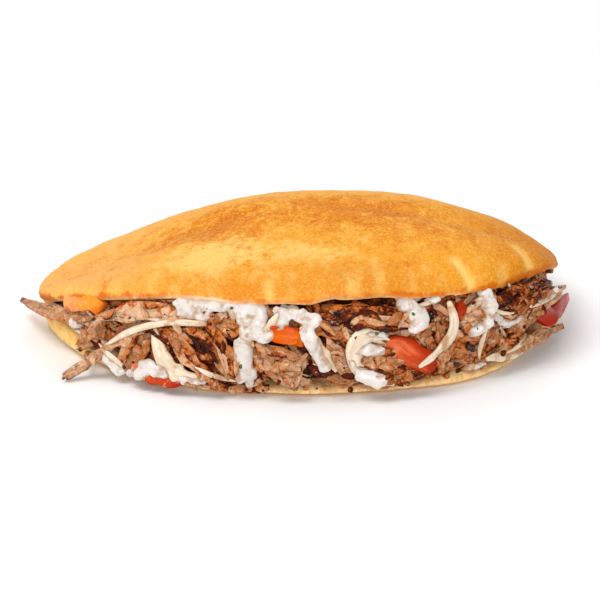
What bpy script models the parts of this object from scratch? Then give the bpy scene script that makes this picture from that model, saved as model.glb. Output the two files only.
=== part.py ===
"""A shawarma sandwich: a round flatbread opened along one side, its pocket packed with shaved meat,
shredded cabbage, tomato and carrot.

The bread is one piece. A domed top layer and a thin bottom layer meet in a fold at the back and part
at the front, where the mouth faces -Y. Below, a direction round the bread is an angle in degrees:
0 is the right end (+X), 90 the back, 180 the left end and -90 the middle of the mouth. A reach of 0 is
the bread's centre and 1 its edge. Working lengths are in millimetres, and new_object turns them into
metres.
"""
import math

import bmesh
import bpy
from mathutils import Vector

# ---------------------------------------------------------------- driving dimensions, millimetres
MM = 0.001
HALF_LENGTH = 100.0         # of the bread, centre to either end
HALF_DEPTH = 80.0           # of the bread, centre to the lip or to the fold
TOP_THICKNESS = 7.0         # of the top layer, crust and crumb
BOTTOM_THICKNESS = 4.4      # of the bottom layer
GAP = 0.3                   # between neighbouring solids

# The middle of the top layer's edge, above the table: (direction, height).
EDGE_HEIGHTS = ((-180, 9.8), (-150, 23.2), (-120, 34.3), (-90, 35.8), (-60, 34.2), (-36, 29.2), (-18, 27.6),
                (0, 20.3), (30, 11.0), (60, 8.0), (120, 7.0), (150, 7.5))
SEAT_HEIGHT = 13.7          # the level the dome rises from at the centre
DOME_RISE = 26.3            # how far it rises
DOME_ROUND = 1.6            # how early it falls away from the centre
EDGE_ROUND = 26             # the higher, the shorter and fuller the rounding of the lip
EDGE_STEEP_LEFT = 1.27      # above 1 the dome runs out flat, below 1 it drops steeply
EDGE_STEEP_RIGHT = 0.39
EDGE_STEEP_FRONT = 0.6
EDGE_STEEP_BACK = 0.7
TIP_FLAT_LEFT = 0.5         # how much flatter still it runs out at the very tips
TIP_FLAT_RIGHT = 0.63
TIP_NARROW_LEFT = 12        # the higher, the narrower the tip that is flatter
TIP_NARROW_RIGHT = 21
SWELL_RISE = 2.1            # a low bulge of the dome over the fullest part of the filling
SWELL_ACROSS = 38.0         # its middle, towards the right end
SWELL_WIDTH = 24.0

JUTS = ((-180, -0.015), (-150, -0.012), (-120, 0.012), (-90, 0.020), (-70, 0.024), (-52, 0.050), (-38, 0.028),
        (-22, -0.012), (0, -0.015), (90, -0.015))   # of the bottom layer beyond the lip, by direction
CURL_DIRECTION = -155.0     # where the bottom layer's edge turns up
CURL_WIDTH = 40.0           # degrees to each side
CURL_HEIGHT = 8.5
CURL_EDGE = 0.5             # how much of it the outermost edge takes part in, and the underside
CURL_BELOW = 0.12
FOOT_LIFT = 0.4             # how far pieces at the foot of the heap come up for each step that they come out
FOLD_START = 23.1           # directions between which the two layers are still joined
FOLD_END = 165.6
FOLD_HALF_WIDTH = 5.1

ANGLES = 56                 # facets round the bread
TOP_REACHES = (0.22, 0.43, 0.62, 0.78, 0.89, 0.95, 0.98, 0.994)
BOTTOM_REACHES = (0.72, 0.82, 0.9, 0.95, 0.985)


# ---------------------------------------------------------------- small helpers
def blend_loop(pairs, angle):
    """Read a smooth closed curve through (direction, value) pairs that are in order."""
    count = len(pairs)
    angle = (angle - pairs[0][0]) % 360 + pairs[0][0]
    last = max(i for i in range(count) if pairs[i][0] <= angle)
    turns = [(last + step) // count for step in (-1, 0, 1, 2)]
    at = [pairs[(last + step) % count][0] + 360 * turn for step, turn in zip((-1, 0, 1, 2), turns)]
    value = [pairs[(last + step) % count][1] for step in (-1, 0, 1, 2)]
    span = at[2] - at[1]
    leave = (value[2] - value[0]) / (at[2] - at[0]) * span
    arrive = (value[3] - value[1]) / (at[3] - at[1]) * span
    t = (angle - at[1]) / span
    return ((2 * t**3 - 3 * t**2 + 1) * value[1] + (t**3 - 2 * t**2 + t) * leave
            + (3 * t**2 - 2 * t**3) * value[2] + (t**3 - t**2) * arrive)


def smooth_step(low, high, value):
    t = min(max((value - low) / (high - low), 0.0), 1.0)
    return t * t * (3 - 2 * t)


def material(name, colour, roughness):
    made = bpy.data.materials.new(name)
    made.use_nodes = True
    shader = made.node_tree.nodes["Principled BSDF"]
    shader.inputs["Base Color"].default_value = (*colour, 1.0)
    shader.inputs["Roughness"].default_value = roughness
    shader.inputs["Metallic"].default_value = 0.0
    return made


def new_object(name, points, faces, finish=None):
    """Make a mesh object from points in millimetres, with its faces turned outwards."""
    mesh = bpy.data.meshes.new(name)
    mesh.from_pydata([Vector(point) * MM for point in points], [], faces)
    made = bpy.data.objects.new(name, mesh)
    bpy.context.scene.collection.objects.link(made)
    work = bmesh.new()
    work.from_mesh(mesh)
    bmesh.ops.recalc_face_normals(work, faces=work.faces)
    work.to_mesh(mesh)
    work.free()
    if finish:
        mesh.materials.append(finish)
    return made


def rings_to_object(name, rings, finish=None):
    """Skin a stack of equal closed rings, and close each end with one face."""
    count = len(rings[0])
    points = [point for ring in rings for point in ring]
    faces = [list(range(count)), [len(points) - count + i for i in range(count)]]
    for row in range(len(rings) - 1):
        for i in range(count):
            after = (i + 1) % count
            faces.append([row * count + i, row * count + after,
                          (row + 1) * count + after, (row + 1) * count + i])
    return new_object(name, points, faces, finish)


def hide_guide(made):
    made.hide_render = True
    made.display_type = "WIRE"


def boolean(made, other, operation):
    """Join or cut with an exact Boolean and keep the result as the object's own mesh."""
    modifier = made.modifiers.new(operation.lower(), "BOOLEAN")
    modifier.operation = operation
    modifier.solver = "EXACT"
    modifier.object = other
    shaped = made.evaluated_get(bpy.context.evaluated_depsgraph_get())
    mesh = bpy.data.meshes.new_from_object(shaped)
    made.modifiers.clear()
    made.data = mesh


def keep_largest(made):
    """Drop the loose crumbs that a cut can leave, and merge points that fall together."""
    work = bmesh.new()
    work.from_mesh(made.data)
    bmesh.ops.remove_doubles(work, verts=work.verts, dist=0.02 * MM)
    bmesh.ops.dissolve_degenerate(work, edges=work.edges, dist=0.01 * MM)
    left = set(work.verts)
    bodies = []
    while left:
        body = set()
        front = [next(iter(left))]
        while front:
            point = front.pop()
            if point in body:
                continue
            body.add(point)
            front.extend(edge.other_vert(point) for edge in point.link_edges)
        bodies.append(body)
        left -= body
    largest = max(bodies, key=len)
    loose = [point for body in bodies if body is not largest for point in body]
    bmesh.ops.delete(work, geom=loose, context="VERTS")
    bmesh.ops.recalc_face_normals(work, faces=work.faces)
    work.to_mesh(made.data)
    work.free()


def box_of(made):
    corners = [point.co for point in made.data.vertices]
    return [(min(c[i] for c in corners), max(c[i] for c in corners)) for i in range(3)]


def boxes_meet(one, two):
    return all(a[0] < b[1] and b[0] < a[1] for a, b in zip(box_of(one), box_of(two)))


# ---------------------------------------------------------------- the bread
def plan(reach, angle, grow=0.0):
    """The place seen from above of a point of the bread."""
    turn = math.radians(angle)
    uneven = 1 + 0.006 * math.sin(2 * turn + 0.6) + 0.005 * math.sin(5 * turn + 1.3)
    uneven += 0.008 * max(-math.cos(turn), 0.0) ** 8 - 0.017 * max(math.cos(turn), 0.0) ** 8
    across = (HALF_LENGTH * uneven + grow) * reach * math.cos(turn)
    deep = (HALF_DEPTH * uneven + grow) * reach * math.sin(turn)
    return across, deep


def edge_height(angle):
    return blend_loop(EDGE_HEIGHTS, angle) + 0.5 * math.sin(math.radians(7 * angle))


def dome_height(reach, angle):
    """The middle of the top layer's thickness."""
    turn = math.radians(angle)
    end = EDGE_STEEP_RIGHT if math.cos(turn) > 0 else EDGE_STEEP_LEFT
    side = EDGE_STEEP_BACK if math.sin(turn) > 0 else EDGE_STEEP_FRONT
    steep = end * math.cos(turn) ** 2 + side * math.sin(turn) ** 2
    steep += TIP_FLAT_LEFT * max(-math.cos(turn), 0.0) ** TIP_NARROW_LEFT
    steep += TIP_FLAT_RIGHT * max(math.cos(turn), 0.0) ** TIP_NARROW_RIGHT
    seat = SEAT_HEIGHT * (1 - reach**2) + edge_height(angle) * reach**2
    dome = DOME_RISE * max(1 - reach**DOME_ROUND, 0.0) ** steep
    swell = SWELL_RISE * math.exp(-((plan(reach, angle)[0] - SWELL_ACROSS) / SWELL_WIDTH) ** 2)
    return seat + dome + swell * (1 - reach**4)


def dome_point(reach, angle):
    return Vector((*plan(reach, angle), dome_height(reach, angle)))


def dome_normal(reach, angle):
    near = 0.004
    out = dome_point(reach, angle) - dome_point(reach - near, angle)
    along = dome_point(reach, angle + 0.5) - dome_point(reach, angle - 0.5)
    return out.cross(along).normalized()


def directions():
    return [-180 + 360 * i / ANGLES for i in range(ANGLES)]


def top_layer(name, grow, finish=None):
    """A domed shell with a rounded edge: outer rings from the middle out, then inner rings back."""
    def ring(reach, side):
        half = TOP_THICKNESS / 2 * math.sqrt(1 - reach**EDGE_ROUND) + grow
        return [dome_point(reach, angle) + side * half * dome_normal(reach, angle) for angle in directions()]

    def edge(rise):
        return [Vector((*plan(1.0, angle, grow), edge_height(angle) + rise)) for angle in directions()]
    edges = [edge(grow), edge(-grow)] if grow else [edge(0.0)]
    rings = [ring(reach, 1) for reach in TOP_REACHES] + edges
    rings += [ring(reach, -1) for reach in reversed(TOP_REACHES)]
    made = rings_to_object(name, rings, finish)
    raise_caps(made, dome_height(0, 0) + TOP_THICKNESS / 2 + grow, dome_height(0, 0) - TOP_THICKNESS / 2 - grow)
    return made


def raise_caps(made, upper, lower):
    """Poke the two end faces so that the middle of the dome is round and not flat."""
    work = bmesh.new()
    work.from_mesh(made.data)
    caps = [face for face in work.faces if len(face.verts) > 4]
    caps.sort(key=lambda face: face.calc_center_median().z)
    poked = bmesh.ops.poke(work, faces=caps)
    middles = sorted(poked["verts"], key=lambda point: point.co.z)
    for point, height in zip(middles, (lower, upper)):
        point.co = Vector((0, 0, height)) * MM
    work.to_mesh(made.data)
    work.free()


def curl(reach, angle):
    """How far the bottom layer is turned up at the left front, where the split ends."""
    off = min(abs((angle - CURL_DIRECTION) % 360), abs((CURL_DIRECTION - angle) % 360)) / CURL_WIDTH
    if off >= 1:
        return 0.0
    return CURL_HEIGHT * math.cos(off * math.pi / 2) ** 2 * smooth_step(0.7, 1.02, reach)


def jut(angle):
    """How much farther than the lip the bottom layer reaches, as a share of the bread's size."""
    return blend_loop(JUTS, angle)


def bottom_layer(name, grow, finish=None):
    """A thin flat disc with a rounded rim."""
    def ring(reach, top):
        toward_edge = max(reach - 0.9, 0.0) / 0.1
        low = 1.5 * toward_edge**2
        high = BOTTOM_THICKNESS - 2.2 * toward_edge**2
        height = high + grow if top else low - grow
        lift = 1.0 if top else CURL_BELOW
        return [Vector((*plan(reach * (1 + jut(angle)), angle), height + lift * curl(reach, angle)))
                for angle in directions()]

    def edge(rise):
        return [Vector((*plan(1 + jut(angle), angle, grow), 1.8 + rise + CURL_EDGE * curl(1.0, angle)))
                for angle in directions()]
    edges = [edge(-grow), edge(grow)] if grow else [edge(0.0)]
    rings = [ring(reach, False) for reach in BOTTOM_REACHES] + edges
    rings += [ring(reach, True) for reach in reversed(BOTTOM_REACHES)]
    return rings_to_object(name, rings, finish)


def fold(name, grow, finish=None):
    """The rounded back edge, where the two layers were never split."""
    rings = []
    steps = 34
    for i in range(steps + 1):
        part = i / steps
        angle = FOLD_START + (FOLD_END - FOLD_START) * part
        end = math.sqrt(max(1 - (2 * part - 1) ** 10, 0.02))
        low = 1.8
        high = edge_height(angle)
        middle = (low + high) / 2
        half = ((high - low) / 2 + 1.2) * end + grow
        wide = FOLD_HALF_WIDTH * end + grow
        centre = Vector((*plan(0.995, angle), middle))
        out = Vector((centre.x / HALF_LENGTH**2, centre.y / HALF_DEPTH**2, 0)).normalized()
        centre -= out * FOLD_HALF_WIDTH
        ring = []
        for k in range(10):
            turn = 2 * math.pi * k / 10
            ring.append(centre + out * wide * math.cos(turn) + Vector((0, 0, half * math.sin(turn))))
        rings.append(ring)
    return rings_to_object(name, rings, finish)


def make_bread(name, grow, finish=None):
    """The two layers and the fold as one solid."""
    bread = top_layer(name, grow, finish)
    for layer in (bottom_layer("lower", grow), fold("fold", grow)):
        boolean(bread, layer, "UNION")
        bpy.data.objects.remove(layer)
    keep_largest(bread)
    return bread


# ---------------------------------------------------------------- the filling
def make_heap(name, finish):
    """The packed filling out to its uneven front, before the bread and the large pieces are cut out."""
    rings = []

    def ring(reach_open, reach_shut, height_of, with_jut=0.0):
        points = []
        for angle in directions():
            shut = smooth_step(8, 30, angle) * (1 - smooth_step(150, 172, angle))
            bulge = 0.012 * math.sin(math.radians(9 * angle + 40)) + 0.010 * math.sin(math.radians(17 * angle))
            drawn_in = 0.05 * math.cos(math.radians(angle)) ** 8
            foot = with_jut * max(jut(angle), 0.0)
            reach = (reach_open + bulge - drawn_in + foot) * (1 - shut) + reach_shut * shut
            points.append(Vector((*plan(reach, angle), height_of(reach, angle))))
        rings.append(points)

    for reach in (0.25, 0.5, 0.7, 0.84):
        ring(reach, reach, dome_height)
    ring(0.93, 0.88, lambda reach, angle: dome_height(min(reach, 0.95), angle) - 1.5)
    ring(0.975, 0.9, lambda reach, angle: 0.88 * edge_height(angle))
    ring(0.99, 0.9, lambda reach, angle: 0.7 * edge_height(angle) + 0.8)
    ring(1.0, 0.9, lambda reach, angle: 0.45 * edge_height(angle) + 1.5 + 0.5 * curl(1, angle), 0.6)
    ring(0.985, 0.9, lambda reach, angle: 0.22 * edge_height(angle) + 1.5 + 0.8 * curl(1, angle), 1.0)
    ring(0.94, 0.88, lambda reach, angle: 2.0 + curl(reach, angle), 1.0)
    ring(0.5, 0.5, lambda reach, angle: 2.0)
    return rings_to_object(name, rings, finish)


def mouth_point(across, out, height):
    """A point of the mouth: how far along it, how far out of the bread's outline, and how high.

    Low down, the heap's foot comes out with the bottom layer, and the point comes out with it and a little up."""
    edge = HALF_DEPTH * math.sqrt(max(1 - (across / HALF_LENGTH) ** 2, 0.0))
    angle = math.degrees(math.atan2(-edge / HALF_DEPTH, across / HALF_LENGTH))
    foot = 0.8 * HALF_DEPTH * max(jut(angle), 0.0) * (1 - smooth_step(6, 24, height))
    return Vector((across, -edge - out - foot, height + FOOT_LIFT * foot))


def smooth_path(points, steps):
    """Points spaced along a smooth curve through the given ones."""
    padded = [2 * points[0] - points[1], *points, 2 * points[-1] - points[-2]]
    spans = len(points) - 1
    path = []
    for i in range(steps + 1):
        place = min(i / steps * spans, spans - 1e-6)
        k = int(place)
        t = place - k
        a, b, c, d = padded[k:k + 4]
        path.append(0.5 * (2 * b + (c - a) * t + (2 * a - 5 * b + 4 * c - d) * t**2
                           + (3 * b - a - 3 * c + d) * t**3))
    return path


def strip(name, finish, points, width, thickness, face, taper, grow=0.0, steps=7):
    """A slice or strip along a path. face is its broad side's slope: 0 looks out, 90 looks up."""
    path = smooth_path([mouth_point(*point) for point in points], steps)
    rings = []
    for i, centre in enumerate(path):
        along = (path[min(i + 1, steps)] - path[max(i - 1, 0)]).normalized()
        out = Vector((centre.x / HALF_LENGTH**2, min(centre.y, -1.0) / HALF_DEPTH**2, 0)).normalized()
        slope = math.radians(face)
        broad = out * math.cos(slope) + Vector((0, 0, math.sin(slope)))
        broad = (broad - along * broad.dot(along)).normalized()
        side = along.cross(broad)
        part = 2 * i / steps - 1
        narrow = 1 - (1 - taper) * abs(part) ** 3
        uneven = 1 + 0.12 * math.sin(2.3 * i + width * 5)
        half_width = width / 2 * narrow * uneven + grow
        half_thick = thickness / 2 * (0.6 + 0.4 * narrow) + grow
        end = along * grow * (1 if i == steps else -1 if i == 0 else 0)
        corners = ((1, 0), (0.55, 1), (-0.55, 1), (-1, 0), (-0.55, -1), (0.55, -1))
        rings.append([centre + end + side * half_width * a + broad * half_thick * b for a, b in corners])
    return rings_to_object(name, rings, finish)


TAPERS = {"carrot": 0.75, "tomato": 0.65, "cabbage": 0.55, "meat": 0.35}

# Each piece: name, finish, (along the mouth, out of the outline, height) points, width, thickness, face.
PIECES = (
    ("carrot_1", "carrot", ((-11.6, 0.6, 26.0), (-5.6, 1.6, 25.4), (1.4, 0.8, 23.9)), 5.6, 3.4, 20),
    ("tomato_1", "tomato", ((-85.5, 1.0, 21.0), (-78.4, 1.0, 23.5), (-72.0, 0.0, 26.4)), 5.0, 3.6, 25),
    ("tomato_2", "tomato", ((-59.5, 3.4, 6.2), (-50.7, 4.2, 6.2), (-42.0, 4.0, 5.2)), 5.2, 3.2, 30),
    ("tomato_3", "tomato", ((31.5, 0.5, 22.4), (37.2, 2.0, 17.8), (42.6, 3.0, 13.0), (47.6, 3.4, 8.8)), 8.6, 4.0, 15),
    ("tomato_4", "tomato", ((56.6, -1.0, 30.4), (57.8, 0.0, 26.4), (60.4, 0.0, 20.6)), 4.4, 2.6, 0),
    ("tomato_5", "tomato", ((84.0, 1.0, 17.2), (92.4, 5.0, 14.6), (101.4, 6.0, 8.6)), 7.4, 4.2, 30),
    ("cabbage_1", "cabbage", ((-72.5, 5.5, 9.8), (-66.4, 4.6, 16.4), (-58.9, 3.8, 21.9), (-49.7, 3.0, 26.0),
                              (-40.6, 2.4, 27.9), (-33.2, 1.0, 26.5)), 3.0, 1.6, 10),
    ("cabbage_2", "cabbage", ((-51.2, 1.0, 22.4), (-49.8, 3.2, 15.2), (-46.0, 4.0, 9.8), (-35.5, 4.0, 7.8)),
     6.2, 1.6, 10),
    ("cabbage_3", "cabbage", ((-7.8, 0.6, 32.6), (-10.2, 1.6, 29.4), (-13.6, 2.0, 24.0)), 2.8, 1.6, 0),
    ("cabbage_4", "cabbage", ((0.8, 2.4, 28.6), (5.6, 3.4, 22.0), (12.2, 4.0, 12.9)), 4.4, 1.8, 0),
    ("cabbage_5", "cabbage", ((31.8, 1.0, 21.7), (25.3, 2.6, 25.6), (19.4, 3.2, 23.6), (18.7, 3.2, 16.5),
                              (22.2, 3.2, 8.9), (31.3, 3.4, 5.8)), 3.4, 1.8, 10),
    ("cabbage_6", "cabbage", ((52.3, -0.6, 31.6), (55.1, 1.8, 27.8), (54.8, 3.8, 22.3), (51.0, 5.0, 17.0),
                              (43.2, 6.4, 12.2)), 3.6, 1.8, 5),
    ("cabbage_7", "cabbage", ((67.6, 2.0, 7.4), (75.7, 2.6, 6.4), (84.5, 2.6, 5.6)), 4.6, 1.8, 20),
    ("meat_1", "meat", ((-104.4, 9.0, 8.4), (-95.0, 5.4, 13.4), (-84.0, 0.4, 16.6), (-73.5, -4.0, 18.6)),
     6.2, 2.6, 35),
    ("meat_2", "meat", ((-57.9, 2.4, 19.4), (-67.9, 4.6, 12.6), (-75.8, 10.0, 6.8), (-80.6, 16.0, 3.9),
                        (-84.0, 22.0, 2.4)), 3.8, 2.2, 20),
    ("meat_3", "meat", ((-70.0, -2.6, 23.4), (-73.7, -0.4, 17.0), (-77.7, 1.2, 10.0), (-80.8, 1.8, 6.4)),
     5.2, 2.4, 10),
    ("meat_4", "meat", ((-72.0, 2.2, 21.8), (-60.7, 1.2, 27.0), (-49.7, 0.2, 29.0), (-38.8, -1.4, 28.6)),
     6.6, 3.0, 25),
    ("meat_5", "meat", ((-53.2, -0.6, 20.4), (-57.7, 1.2, 13.8), (-61.8, 2.4, 8.0), (-66.0, 3.2, 4.8)),
     7.2, 3.0, 10),
    ("meat_6", "meat", ((-45.0, 1.4, 21.4), (-42.6, 3.4, 16.6), (-38.4, 4.4, 13.0), (-33.0, 4.6, 10.4),
                        (-30.6, 4.6, 5.6)), 4.0, 2.2, 5),
    ("meat_7", "meat", ((-38.6, -1.6, 22.4), (-33.0, 0.2, 18.6), (-26.9, 1.4, 14.4), (-22.6, 2.2, 8.2)),
     10.5, 3.2, 10),
    ("meat_8", "meat", ((-13.8, -0.6, 18.4), (-8.5, 1.2, 14.6), (-3.8, 1.6, 10.6), (-0.6, 1.8, 6.4)),
     11.0, 4.0, 10),
    ("meat_9", "meat", ((-0.6, -1.0, 30.0), (6.6, 0.2, 28.6), (13.0, 0.8, 26.4), (18.4, 1.0, 23.6)),
     7.2, 2.8, 35),
    ("meat_10", "meat", ((8.6, -1.6, 32.0), (17.5, 0.2, 31.0), (28.1, 1.2, 29.6), (38.8, 1.4, 26.4)),
     7.8, 3.2, 40),
    ("meat_11", "meat", ((20.8, 2.0, 13.4), (27.6, 3.2, 14.4), (33.7, 2.4, 13.8), (40.0, 0.0, 13.4)),
     5.2, 2.4, 25),
    ("meat_12", "meat", ((24.0, 2.4, 8.6), (32.6, 3.2, 8.6), (39.8, 3.2, 8.0), (48.0, 2.4, 7.6)),
     4.6, 2.0, 35),
    ("meat_13", "meat", ((58.4, 0.6, 22.2), (63.0, 1.2, 25.0), (66.8, 0.8, 26.4), (71.6, -1.0, 27.4)),
     8.6, 3.2, 15),
    ("meat_14", "meat", ((69.6, 0.6, 23.4), (76.5, 2.6, 26.2), (83.6, 3.0, 26.8), (91.5, 1.6, 24.6)),
     10.0, 3.4, 25),
    ("meat_15", "meat", ((79.6, 2.2, 18.4), (87.1, 4.6, 20.6), (93.1, 5.6, 20.6), (98.6, 5.4, 18.0)),
     5.2, 2.6, 35),
    ("meat_16", "meat", ((71.6, 1.0, 9.2), (80.2, 4.0, 9.6), (87.4, 6.2, 8.8), (96.0, 7.4, 6.0)), 5.6, 2.8, 30),
)

COLOURS = {
    "carrot": (0.86, 0.20, 0.01),
    "tomato": (0.72, 0.10, 0.05),
    "cabbage": (0.80, 0.76, 0.62),
    "meat": (0.36, 0.20, 0.12),
}


def make_filling(bread_room, finish_by_name):
    """Cut every piece clear of the bread and of the pieces before it, then cut the heap round them all."""
    heap = make_heap("filling", material("mixed filling", (0.20, 0.10, 0.06), 0.7))
    boolean(heap, bread_room, "DIFFERENCE")
    placed = []
    for name, finish, points, width, thickness, face in PIECES:
        taper = TAPERS[finish]
        piece = strip(name, finish_by_name[finish], points, width, thickness, face, taper)
        room = strip(name + "_room", None, points, width, thickness, face, taper, grow=GAP)
        hide_guide(room)
        boolean(piece, bread_room, "DIFFERENCE")
        for neighbour in placed:
            if boxes_meet(piece, neighbour):
                boolean(piece, neighbour, "DIFFERENCE")
        keep_largest(piece)
        boolean(heap, room, "DIFFERENCE")
        placed.append(room)
    keep_largest(heap)
    return placed


def stand_on_origin():
    """Move the finished solids so that the origin is under the middle of their common box."""
    solids = [made for made in bpy.data.objects if not made.hide_render]
    boxes = [box_of(made) for made in solids]
    low = [min(box[i][0] for box in boxes) for i in range(3)]
    high = [max(box[i][1] for box in boxes) for i in range(3)]
    shift = Vector((-(low[0] + high[0]) / 2, -(low[1] + high[1]) / 2, -low[2]))
    for made in solids:
        for point in made.data.vertices:
            point.co += shift


def shade(made):
    made.data.shade_smooth()
    made.data.set_sharp_from_angle(angle=math.radians(40))


def main():
    for old in list(bpy.data.objects):
        bpy.data.objects.remove(old)
    finishes = {name: material(name, colour, 0.5) for name, colour in COLOURS.items()}
    bread = make_bread("bread", 0.0, material("crust", (0.83, 0.42, 0.11), 0.6))
    bread_room = make_bread("bread_room", GAP)
    hide_guide(bread_room)
    make_filling(bread_room, finishes)
    stand_on_origin()
    for made in bpy.data.objects:
        if not made.hide_render:
            shade(made)
    print("bread box, mm:", [[round(1000 * edge, 1) for edge in side] for side in box_of(bread)])


main()
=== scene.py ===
# %% [markdown]
# # A shawarma sandwich
# A round flatbread lies on a table with its mouth towards us. It is stuffed with meat shaved from a
# spit, white cabbage, tomato, carrot and a thick white garlic sauce. The solids of the construction
# model give every place and size. This script gives each of them the surface of real food, and adds
# the small things that are too fine for solids: shreds, sauce, herbs and crumbs.

# %% Load the construction model
import heapq
import math
import random
import bpy
import numpy as np
from mathutils import Matrix, Vector
from mathutils.bvhtree import BVHTree


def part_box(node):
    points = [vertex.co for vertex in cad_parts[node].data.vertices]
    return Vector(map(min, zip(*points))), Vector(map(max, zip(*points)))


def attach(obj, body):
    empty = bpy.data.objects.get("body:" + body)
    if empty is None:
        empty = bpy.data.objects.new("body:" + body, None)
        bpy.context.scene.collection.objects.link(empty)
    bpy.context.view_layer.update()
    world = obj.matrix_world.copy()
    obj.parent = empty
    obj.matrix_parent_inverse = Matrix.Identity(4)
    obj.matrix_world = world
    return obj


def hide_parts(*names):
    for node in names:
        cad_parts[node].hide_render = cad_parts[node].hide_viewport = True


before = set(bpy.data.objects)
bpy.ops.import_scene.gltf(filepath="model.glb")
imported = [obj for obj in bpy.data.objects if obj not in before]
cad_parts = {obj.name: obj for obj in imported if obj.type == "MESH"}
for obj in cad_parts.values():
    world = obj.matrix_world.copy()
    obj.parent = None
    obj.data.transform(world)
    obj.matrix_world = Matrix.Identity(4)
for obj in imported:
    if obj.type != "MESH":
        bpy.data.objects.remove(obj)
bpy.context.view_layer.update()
MM = 0.001

# %% [markdown]
# The bread is the measure of everything else. Its box gives the middle of the loaf, and half its
# length and depth are the two radii of the oval that places are worked out on. The loaf isn't quite
# even, so the middle of its mouth lies a little off the middle of its box.

# %% Measures from the bread
bread_low, bread_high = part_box("bread")
MIDDLE = Vector(((bread_low.x + bread_high.x) / 2, (bread_low.y + bread_high.y) / 2, 0))
HALF_LENGTH = (bread_high.x - bread_low.x) / 2
HALF_DEPTH = (bread_high.y - bread_low.y) / 2
MOUTH_MIDDLE = MIDDLE + Vector((0.8, 0.4, 0)) * MM
print("bread, mm:", round(2 * HALF_LENGTH / MM), "by", round(2 * HALF_DEPTH / MM))

# %% [markdown]
# The sandwich is seen from a little above, through a long lens that keeps both ends equally large.
# The camera is placed by its angle above the table and its distance from a point just over the table.

# %% Camera
CAMERA_RISE = math.radians(22.0)
CAMERA_DISTANCE = 0.95
LENS = 148.2
AIM = MOUTH_MIDDLE + Vector((0, 0, 5.4 * MM))
camera = bpy.data.objects.new("camera", bpy.data.cameras.new("camera"))
bpy.context.scene.collection.objects.link(camera)
camera.data.lens = LENS
camera.data.clip_start = 0.01
camera.location = AIM + CAMERA_DISTANCE * Vector((0, -math.cos(CAMERA_RISE), math.sin(CAMERA_RISE)))
camera.rotation_euler = (math.pi / 2 - CAMERA_RISE, 0, 0)
bpy.context.scene.camera = camera
print("camera stands", round(camera.location.z / MM), "mm above the table")

# %% [markdown]
# A table top in near white and four soft lamps make a plain studio. The large lamp overhead and to
# the left shapes the dome of the bread, the one in front looks into the mouth, a low one on the left
# reaches under the lip, and the one behind lights the back. The standard view keeps the strong yellow
# of the crust, which a film-like view would wash out.

# %% Table, lamps and view
TABLE_SIZE = 6.0
ROOM_LIGHT = 0.62
bpy.ops.mesh.primitive_plane_add(size=TABLE_SIZE)
table = bpy.context.object
table.name = "table"


def lamp(name, place, size, power):
    made = bpy.data.objects.new(name, bpy.data.lights.new(name, "AREA"))
    bpy.context.scene.collection.objects.link(made)
    made.data.shape = "DISK"
    made.data.size = size
    made.data.energy = power
    made.location = place
    made.rotation_euler = (AIM - Vector(place)).to_track_quat("-Z", "Y").to_euler()


lamp("overhead lamp", (-0.40, -0.30, 0.90), 0.55, 5.0)
lamp("front lamp", (0.20, -1.00, 0.34), 0.45, 3.4)
lamp("low left lamp", (-0.75, -0.60, 0.16), 0.3, 1.0)
lamp("back lamp", (0.20, 0.80, 0.70), 0.5, 2.0)
world = bpy.data.worlds.new("soft room")
bpy.context.scene.world = world
world.use_nodes = True
room = world.node_tree.nodes["Background"].inputs
room["Color"].default_value = (1, 1, 1, 1)
room["Strength"].default_value = ROOM_LIGHT
bpy.context.scene.view_settings.view_transform = "Standard"

# %% [markdown]
# Finishes are built from nodes. A wrapped socket can be added, multiplied or taken from 1 like a
# plain number, and each such sum adds its own Math node, so a recipe reads as a formula.

# %% Sums of sockets
def math_node(operation, swapped=False):
    """What a sign between two values does: it adds a Math node."""
    def method(self, other=0.0):
        first, second = (other, self) if swapped else (self, other)
        return self.finish.node("Math", {"operation": operation}, {0: first, 1: second})
    return method


class Value:
    """An output socket that takes part in sums."""

    def __init__(self, finish, socket):
        self.finish = finish
        self.socket = socket

    __add__ = __radd__ = math_node("ADD")
    __mul__ = __rmul__ = math_node("MULTIPLY")
    __sub__ = math_node("SUBTRACT")
    __rsub__ = math_node("SUBTRACT", swapped=True)
    __truediv__ = math_node("DIVIDE")
    sine = math_node("SINE")
    exponent = math_node("EXPONENT")

    def between(self, low=0.0, high=1.0):
        """0 below low, 1 above high, and an eased step in between."""
        return self.finish.node("MapRange", {"interpolation_type": "SMOOTHSTEP"},
                                {"Value": self, "From Min": low, "From Max": high})


print("a value is", Value.__doc__[0].lower() + Value.__doc__[1:])

# %% [markdown]
# Every other node comes from one method, which takes the node's kind, its settings and what goes into
# its sockets. A tone is written as the eye names it, red, green and blue from 0 to 255, and layers of
# tones are laid over each other, each with its own share. The table top gets the first finish.

# %% A small kit for finishes
def light_of(tone):
    """The light values that a shader needs for a tone. A tone that is already a value stays one."""
    def light(part):
        part /= 255
        return part / 12.92 if part <= 0.04045 else ((part + 0.055) / 1.055) ** 2.4
    return tone if isinstance(tone, Value) else (*(light(part) for part in tone), 1.0)


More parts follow.
